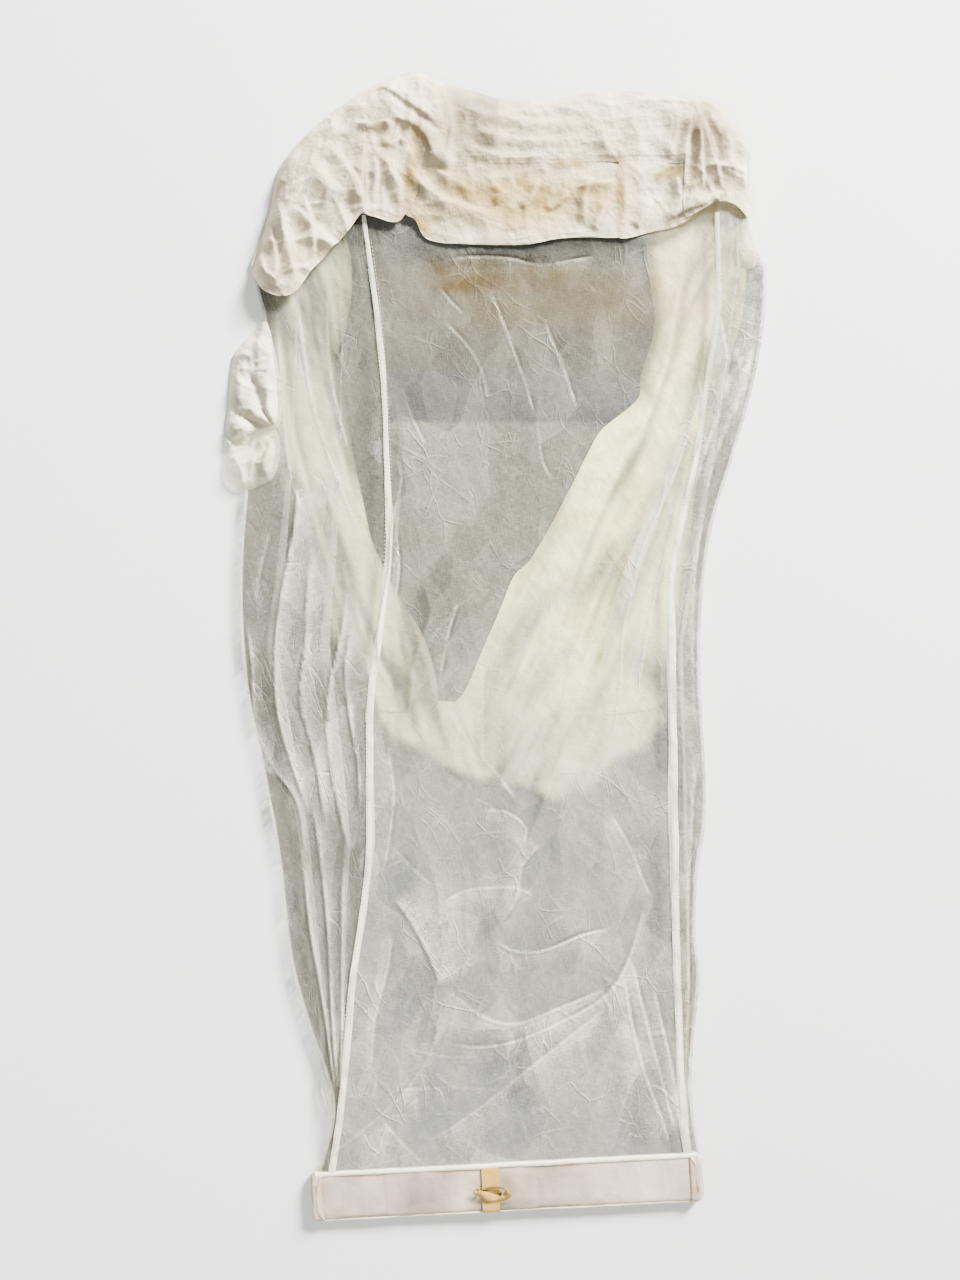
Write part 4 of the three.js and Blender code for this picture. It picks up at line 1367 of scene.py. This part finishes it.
def add_stitches(name, runs, body, spacing=4.6, size=(2.9, 0.75)):
    """Rows of hand stitches: each a small raised dash of thread along a path.

    A run is (path, level, raise), with level giving the cloth's height at x and y."""
    points, faces = [], []
    length, width = size
    for path, level, up in runs:
        line = rounded_path(path, 3)
        run = np.concatenate([[0], np.cumsum(np.hypot(*np.diff(line, axis=0).T))])
        at = np.arange(spacing / 2, run[-1], spacing)
        x, y = np.interp(at, run, line[:, 0]), np.interp(at, run, line[:, 1])
        ahead = np.stack([np.gradient(x), np.gradient(y)], -1)
        ahead /= np.linalg.norm(ahead, axis=1, keepdims=True)
        side = np.stack([-ahead[:, 1], ahead[:, 0]], -1)
        z = level(x, y) + up
        for k in range(len(x)):
            start = len(points)
            for along, across, rise in (
                (-0.5, 0, -0.35), (-0.25, 0.5, -0.1), (0.25, 0.5, -0.1), (0.5, 0, -0.35),
                (0.25, -0.5, -0.1), (-0.25, -0.5, -0.1), (-0.22, 0, 0.4), (0.22, 0, 0.4),
            ):
                spot = ahead[k] * along * length + side[k] * across * width
                points.append((x[k] + spot[0], y[k] + spot[1], z[k] + rise))
            for a, b, c in (
                (0, 6, 1), (1, 6, 7), (1, 7, 2), (2, 7, 3), (3, 7, 4), (4, 7, 6), (4, 6, 5), (5, 6, 0),
            ):
                faces.append((start + a, start + b, start + c))
    tint = np.full((len(points), 3), (0.86, 0.76, 0.58))
    piece = add_mesh(name, points, faces, TAPE, tint)
    settle(piece, "tape", body)


def yoke_level(x, y):
    return yoke_height(x, y)[0]


def make_yoke():
    make_yoke_piece(
        "left_shoulder_cloth", LEFT_SHOULDER, "left_shoulder", "suit", 2.4,
        [(-376, 572), (-330, 541), (-288, 578), (-228, 642), (-208, 667), (-153, 655)],
    )
    make_yoke_piece("yoke_side_cloth", SIDE_PANEL, "yoke_side_panel", "suit", 0.0,
                    [(188, 633), (237, 641), (284, 653), (304, 668)])
    make_yoke_piece(
        "right_shoulder_cloth", RIGHT_SHOULDER, "right_shoulder", "suit", 1.4,
        [(292, 664), (315, 673), (339, 686), (365, 684), (392, 668)],
    )
    make_yoke_piece(
        "yoke_flap_cloth", FRONT_FLAP, "yoke_front_panel", "front_flap", 0.6,
        [(-141, 668), (-112, 633), (-40, 622), (51, 622), (144, 633), (190, 634)],
        slot="aged_calico",
    )
    make_yoke_piece("yoke_top_cloth", TOP_PANEL, "yoke_top_panel", "suit", 1.4,
                    [(-126, 735), (0, 743), (98, 744), (160, 748), (240, 749), (296, 748)])
    add_stitches(
        "yoke_stitching",
        [
            ([(-366, 578), (-330, 550), (-312, 556), (-290, 586), (-250, 626), (-226, 650), (-206, 673),
              (-156, 662)], yoke_level, 2.9),
            ([(-204, 800), (-207, 733), (-206, 676)], yoke_level, 2.9),
            ([(192, 640), (237, 648), (284, 660), (300, 668)], yoke_level, 0.5),
            ([(300, 676), (318, 681), (339, 692), (365, 690), (390, 676)], yoke_level, 1.9),
            ([(-104, 759), (0, 758), (98, 758), (170, 760), (296, 759)], yoke_level, 1.9),
            ([(299, 690), (297, 760), (300, 850)], yoke_level, 1.9),
        ],
        "suit",
    )
    add_stitches(
        "flap_stitching",
        [([(-132, 672), (-108, 642), (-86, 632), (5, 628), (98, 639), (184, 640)], yoke_level, 1.1)],
        "front_flap",
    )
    points, faces, _ = patch(BACK_YOKE, 7)
    x, y = points.T
    z = 0.9 + 0.3 * cloudy(x, y, 60, 461, 3)
    full = np.column_stack([x, y, z])
    piece = add_mesh("back_yoke_cloth", full, faces, CALICO, stain(x, y, YOKE_SPOTS[:1]))
    settle(piece, "calico", "suit", "back_yoke")


make_yoke()
add_stitches(
    "tape_stitching",
    [
        (tape_row(seam, side, top), front_level, 0.6)
        for seam, top in ((LEFT_SEAM, 640.0), (RIGHT_SEAM, 630.0))
        for side in (-1, 1)
    ],
    "suit",
    spacing=6.0,
    size=(3.4, 0.7),
)

# ---------------------------------------------------------------- Slack folded out at the sides

BULGE = [
    (-362, 508), (-385, 486), (-408, 461), (-415, 436), (-420, 380), (-423, 330), (-412, 306),
    (-392, 312), (-370, 330), (-350, 338), (-340, 342), (-336, 400), (-346, 460),
]
POCKET = [
    (-423, 330), (-425, 290), (-424, 262), (-408, 246), (-391, 244), (-370, 252), (-350, 262),
    (-338, 300), (-345, 338), (-370, 332), (-395, 316),
]


CORNER = [
    (374, 600), (396, 590), (412, 606), (410, 622), (398, 632), (392, 668), (380, 662), (372, 630),
]
PINCH = (-343, 336)  # where the left slack is gathered


def bulge_height(x, y, loop):
    edge, _, _ = to_line(x, y, loop, closed=True)
    z = 2 + 13 * (1 - np.exp(-edge / 12))
    pinch = np.hypot(x - PINCH[0], y - PINCH[1])
    angle = np.arctan2(y - PINCH[1], x - PINCH[0])
    rays = np.abs(np.sin(angle * 4.5 + 0.8 * cloudy(x, y, 40, 505, 2)))
    z = z + 9.0 * (rays - 0.5) * smooth(2, 22, pinch) * smooth(170, 50, pinch) * smooth(0, 20, edge)
    bent_x = x + 8 * cloudy(x, y, 40, 507, 2)
    z = z + 6.0 * (cells(bent_x * 1.3, y * 0.8, 34, 509) - 0.4) * smooth(0, 14, edge)
    z = z + 2.2 * wrinkles(x, y, 18, 60, 10, 511) + 1.6 * wrinkles(x, y, 14, 40, 60, 521)
    return z + 3.2 * crumpled(x, y, 26, 541) * smooth(0, 14, edge)


FOLD_SPOTS = [(*PINCH, 26, 22, 0, 0.75, TAN), (-390, 300, 40, 50, 0, 0.3, YELLOW)]


def make_side_folds():
    for name, outline, node, material, slot_name, cover in (
        ("left_side_fold_cloth", BULGE, "left_side_fold", CALICO, "calico", 1.0),
        ("left_side_pocket_cloth", POCKET, "left_side_fold_gauze", LINING, "gauze", 0.62),
    ):
        points, faces, loop = patch(outline, 3.2)
        x, y = points.T
        z = bulge_height(x, y, loop) + (7.0 if cover == 1.0 else 5.0) * smooth(-380, -350, x)
        full = np.column_stack([x, y, z])
        tint = stain(x, y, FOLD_SPOTS)
        # Dirt and painted shade in the hollows of the crumples, and painted light and shade by slope.
        hollow = np.clip(0.5 - crumpled(x, y, 26, 541), 0, 1)[:, None]
        lean = painted_slope_light(lambda a, b: bulge_height(a, b, loop), x, y, 0.75, 0.55, 1.15)
        edge, _, _ = to_line(x, y, loop, closed=True)
        lean = 1 + (lean - 1) * smooth(2, 20, edge)
        tint = tint * np.array([1.08, 1.13, 1.26]) * (1 - 0.25 * hollow) * lean[:, None]
        piece = add_mesh(name, full, faces, material, tint, np.full(len(x), cover))
        settle(piece, slot_name, "side_fold", node)
        declare_panel(piece, loop, full, faces, (1.25, 1.15), "folded")
    points, faces, loop = patch(CORNER, 3.0)
    x, y = points.T
    edge, _, _ = to_line(x, y, loop, closed=True)
    z = 6 + 9 * (1 - np.exp(-edge / 8)) + 1.5 * wrinkles(x, y, 12, 40, 0, 531)
    full = np.column_stack([x, y, z])
    piece = add_mesh("right_side_fold_cloth", full, faces, CALICO, np.ones((len(x), 3)))
    settle(piece, "calico", "suit", "right_side_fold")
    area = round(min(area_of(full, faces), 0.05 * 0.085), 5)


make_side_folds()

# ---------------------------------------------------------------- Batten


def to_bar(u, v, z):
    """From the batten's own axes (along, across, up) to the suit's."""
    c, s = math.cos(BAR_TILT), math.sin(BAR_TILT)
    return np.stack([BAR_X + u * c - v * s, BAR_Y + u * s + v * c, z + 0 * u], -1)


def bar_section(angle, half_width, height):
    """A flat rounded section: across and up, for an angle from the middle of the head edge."""
    c, s = np.cos(angle), np.sin(angle)
    power = 0.28
    across = np.sign(c) * np.abs(c) ** power * half_width
    up = height / 2 + np.sign(s) * np.abs(s) ** 0.55 * height / 2
    return across, up


SLEEVE_SEAMS = (-190, 48)


def make_sleeve():
    around = np.linspace(-0.5 * math.pi, 1.5 * math.pi - 0.02, 72)
    along = np.linspace(-BAR_LENGTH / 2 + 7, BAR_LENGTH / 2 - 7, 200)
    a, u = np.meshgrid(around, along)
    v, z = bar_section(a, 36.6, 15.6)
    wave = 0.8 * cloudy(u, v * 0, 60, 601, 3)
    v = v + wave * np.sign(v) * 0.8
    z = z + 0.5 + 0.7 * wrinkles(u, v, 26, 60, 50, 611) + 0.5 * cloudy(u, v, 30, 621, 3) * (z > 8)
    z = np.maximum(z, 1.5 + 0.1 * cloudy(u, v, 20, 625, 2))
    for seam_u in SLEEVE_SEAMS:
        z = z - 0.7 * np.exp(-(((u - seam_u) / 1.4) ** 2)) * (z > 8)
    points = to_bar(u, v, z)
    x, y = points[..., 0], points[..., 1]
    tint = stain(x, y, BAR_SPOTS)
    for seam_u in SLEEVE_SEAMS:
        tint = tint * (1 - 0.07 * np.exp(-(((u - seam_u) / 1.6) ** 2)))[..., None]
    patches = 0.60 * cloudy(u, v, 70, 641, 4) + 0.25 * cloudy(u, v * 2, 24, 645, 3)
    # The 0.0005 * u term is painted light: the sleeve is paler towards its right end, nearer the key light.
    tint = tint * (1 + 0.0005 * u + patches)[..., None]
    near_pipe = np.exp(-np.abs(v - 30) / 2.4) + 0.8 * np.exp(-np.abs(v + 32) / 2.0)
    near_pipe = near_pipe * np.clip(0.5 + 1.2 * cloudy(u, v * 0, 50, 651, 4), 0.1, 1.2)
    tint = tint * (1 - near_pipe[..., None] * np.array([0.42, 0.58, 0.80]))
    faces, cut = grid_faces(*u.shape), np.stack([u, v + z], -1)
    piece = add_mesh("sleeve_cloth", points, faces, SLEEVE, tint, None, cut)
    nodes = ("sleeve_front", "sleeve_back", "sleeve_head_edge", "sleeve_foot_edge")
    settle(piece, "sleeve_cloth", "batten", *nodes)


def make_rope(name, path, radius, spots, sides=12, flatten=1.0):
    """A soft rolled edge along a path of points."""
    path = np.asarray(path, float)
    ahead = np.gradient(path, axis=0)
    ahead /= np.linalg.norm(ahead, axis=1, keepdims=True)
    up = np.array([0, 0, 1.0])
    side = np.cross(ahead, up)
    side /= np.linalg.norm(side, axis=1, keepdims=True)
    normal = np.cross(side, ahead)
    angle = np.linspace(0, 2 * math.pi, sides, endpoint=False)
    r = np.broadcast_to(np.asarray(radius, float), (len(path),))[:, None, None]
    c, s = np.cos(angle)[None, :, None], np.sin(angle)[None, :, None]
    ring = side[:, None] * c + flatten * normal[:, None] * s
    points = path[:, None] + r * ring
    length = np.concatenate([[0], np.cumsum(np.linalg.norm(np.diff(path, axis=0), axis=1))])
    cut = np.stack(np.broadcast_arrays(length[:, None], angle[None] * np.mean(radius)), -1)
    tint, faces = stain(points[..., 0], points[..., 1], spots), grid_faces(len(path), sides, wrap=True)
    return add_mesh(name, points, faces, TAPE, tint, None, cut)


def make_piping():
    u = np.linspace(-BAR_LENGTH / 2 + 8, BAR_LENGTH / 2 - 8, 240)
    for name, v0, z0, size in (("head_piping", 34.8, 14.6, 4.1), ("foot_piping", -36.0, 12.0, 2.6)):
        v = v0 + 0.9 * cloudy(u, u * 0, 50, 701 if v0 > 0 else 711, 3)
        z = z0 + 0.5 * cloudy(u, u * 0, 40, 721, 3)
        radius = size * (1 + 0.10 * cloudy(u, u * 0, 18, 731, 3))
        soiled = [(at, -846 + v0, 46, 30, 3, 0.45, BEIGE) for at in (-230, -90, 70, 200, 300)]
        piece = make_rope(name, to_bar(u, v, z), radius, BAR_SPOTS + soiled, flatten=0.7)
        settle(piece, "tape", "batten")


def make_end(name, side, node):
    """Cloth folded in over the end of the board, with a mitre crease and puckers."""
    around = np.linspace(0, 2 * math.pi, 80, endpoint=False)
    steps = np.linspace(0, 1, 26)
    a, t = np.meshgrid(around, steps)
    close = np.sqrt(np.clip(1 - (np.clip(t - 0.62, 0, 1) / 0.38) ** 2.4, 0, 1))
    v, z = bar_section(a, 37.6, 17.2)
    rounder = 0.93 if side > 0 else 0.985
    v = v * (1 - (1 - close) * (1 - 0.72)) * (1 - (1 - rounder) * smooth(0.4, 1, t))
    z = 8.6 + (z - 8.6) * np.clip(close, 0.02, 1)
    u = side * (BAR_LENGTH / 2 - 20 + 20.5 * t)
    top = z > 9
    mitre = np.exp(-((np.abs(v) - 37 * (1 - t)) ** 2) / 9.0)
    z = z + top * (1.3 * mitre + 0.8 * cloudy(u, v, 9, 801 + side, 3))
    u = u + side * 1.6 * cloudy(v, z, 14, 811 + side, 3) * t
    inner = smooth(0.0, 0.12, t)
    z = z + 0.9 * inner * top
    points = to_bar(u, v, z)
    x, y = points[..., 0], points[..., 1]
    tint = stain(x, y, BAR_SPOTS)
    wear_and_shade = 0.55 * np.exp(-t / 0.10) + 0.45 * mitre * smooth(0.1, 0.5, t) + 0.35 * smooth(0.8, 1.0, t)
    wear_and_shade = np.clip(2.6 * wear_and_shade * (0.6 + 0.7 * cloudy(x, y, 14, 821, 3)), 0, 1)
    tint = 1.1 * tint * (1 - wear_and_shade[..., None] * (1 - np.array([0.46, 0.34, 0.14])))
    faces, cut = grid_faces(*a.shape, wrap=True), np.stack([u, v + z], -1)
    piece = add_mesh(name, points, faces, SLEEVE, tint, None, cut)
    settle(piece, "sleeve_cloth", "batten", node)


def make_hanging_tape():
    around = np.linspace(-0.42, math.pi + 0.42, 46)
    across = np.linspace(-13.5, 13.5, 15)
    s, a = np.meshgrid(across, around)
    v, z = bar_section(a, 37.8, 17.6)
    u = -25 + s + 0.5 * cloudy(v, z, 20, 841, 2) + 0.02 * v
    z = z + 0.9 + 0.4 * cloudy(u, v, 12, 845, 3)
    points = to_bar(u, v, z)
    x, y = points[..., 0], points[..., 1]
    tint = stain(x, y, [(-8, -846, 20, 14, 8, 0.5, RUST), (-8, -812, 16, 8, 0, 0.3, RUST)])
    faces, cut = grid_faces(*u.shape), np.stack([s, v + z], -1)
    piece = add_mesh("hanging_tape_cloth", points, faces, TAN_TAPE, tint, None, cut)
    settle(piece, "stained_tape", "batten", "hanging_tape")


LOOP_SPOTS = [
    (-20, -850, 20, 7, 10, 0.8, (0.50, 0.42, 0.34)),
    (10, -842, 8, 8, 0, 0.6, RUST),
]


def make_loop():
    """A tape twisted into a leaf-shaped loop."""
    t = np.linspace(0, 2 * math.pi, 120, endpoint=False)
    length, width = 23.5, 8.4
    px = length * np.cos(t) * (1 - 0.06 * np.cos(t))
    py = width * np.sin(t) * (1 + 0.28 * np.cos(t)) + 1.6 * np.sin(2 * t)
    pz = 22.4 + 2.0 * np.sin(t * 2 + 0.6)
    path = np.stack([px, py, pz], -1)
    ahead = np.roll(path, -1, 0) - np.roll(path, 1, 0)
    ahead /= np.linalg.norm(ahead, axis=1, keepdims=True)
    side = np.cross(ahead, [0, 0, 1.0])
    side /= np.linalg.norm(side, axis=1, keepdims=True)
    up = np.cross(side, ahead)
    turn = 0.35 + 0.7 * np.sin(t) + 0.45 * np.sin(3 * t + 0.5)
    s = np.linspace(-6.2, 6.2, 11)
    flat_way = side * np.cos(turn)[:, None] + up * np.sin(turn)[:, None]
    bulge = up * np.cos(turn)[:, None] - side * np.sin(turn)[:, None]
    points = path[:, None] + flat_way[:, None] * s[None, :, None]
    points = points + bulge[:, None] * (1.2 - (s / 4.4)[None, :, None] ** 2)
    points[..., 2] = np.clip(points[..., 2], 18.9, 27.5)
    turn_z = math.radians(-4)
    x = points[..., 0] * math.cos(turn_z) - points[..., 1] * math.sin(turn_z) - 6
    y = points[..., 0] * math.sin(turn_z) + points[..., 1] * math.cos(turn_z) - 846
    y = np.where(y > -836, -836 + 0.3 * (y + 836), y)
    points = np.stack([x, y, points[..., 2]], -1)
    points = np.concatenate([points, points[:1]], 0)
    shade = stain(points[..., 0], points[..., 1], LOOP_SPOTS)
    rows, columns = points.shape[:2]
    faces = grid_faces(rows, columns)
    faces = np.where(faces >= (rows - 1) * columns, faces - (rows - 1) * columns, faces)
    length_along = np.linspace(0, 130, rows)
    cut = np.stack(np.broadcast_arrays(s[None], length_along[:, None]), -1)
    piece = add_mesh(
        "hanging_loop_cloth", points[:-1], faces, TAN_TAPE, shade[:-1], None, cut[:-1]
    )
    settle(piece, "stained_tape", "loop", "hanging_loop")


def make_tail():
    """The end of the back gauze, caught under the sleeve."""
    u, v = np.meshgrid(np.linspace(-292, 292, 60), np.linspace(-36, 36, 10))
    points = to_bar(u, v, 0.6 + 0.15 * cloudy(u, v, 30, 861, 2))
    tint, cover = np.full((*u.shape, 3), 0.9), np.full(u.shape, 1.4)
    piece = add_mesh("back_tail_cloth", points, grid_faces(*u.shape), GAUZE, tint, cover)
    settle(piece, "gauze", "batten", "back_gauze_tail")


def wood_material():
    n = Nodes("board_wood")
    where = n.new("ShaderNodeTexCoord").outputs["Object"]
    grain = n.noise(n.scaled(where, (3, 90, 90)), 1.0, 6.0, 0.6)
    ring = n.noise(n.scaled(where, (1.2, 18, 18)), 1.0, 2.0)
    colour = n.mix(grain, (0.42, 0.29, 0.16, 1), (0.66, 0.52, 0.34, 1))
    colour = n.mix(n.math("MULTIPLY", ring, 0.4), colour, (0.50, 0.34, 0.18, 1))
    n.feed(n.shader.inputs["Base Color"], colour)
    n.feed(n.shader.inputs["Roughness"], n.math("MULTIPLY_ADD", grain, 0.25, 0.55))
    bump = n.new("ShaderNodeBump")
    bump.inputs["Strength"].default_value = 0.3
    bump.inputs["Distance"].default_value = 0.001
    n.feed(bump.inputs["Height"], grain)
    n.feed(n.shader.inputs["Normal"], bump.outputs[0])
    return n.material


def make_batten():
    make_sleeve()
    make_piping()
    make_end("left_end_cloth", -1, "sleeve_left_end")
    make_end("right_end_cloth", 1, "sleeve_right_end")
    make_hanging_tape()
    make_loop()
    make_tail()
    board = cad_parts["batten_board"]
    board.data.materials.clear()
    board.data.materials.append(wood_material())


make_batten()
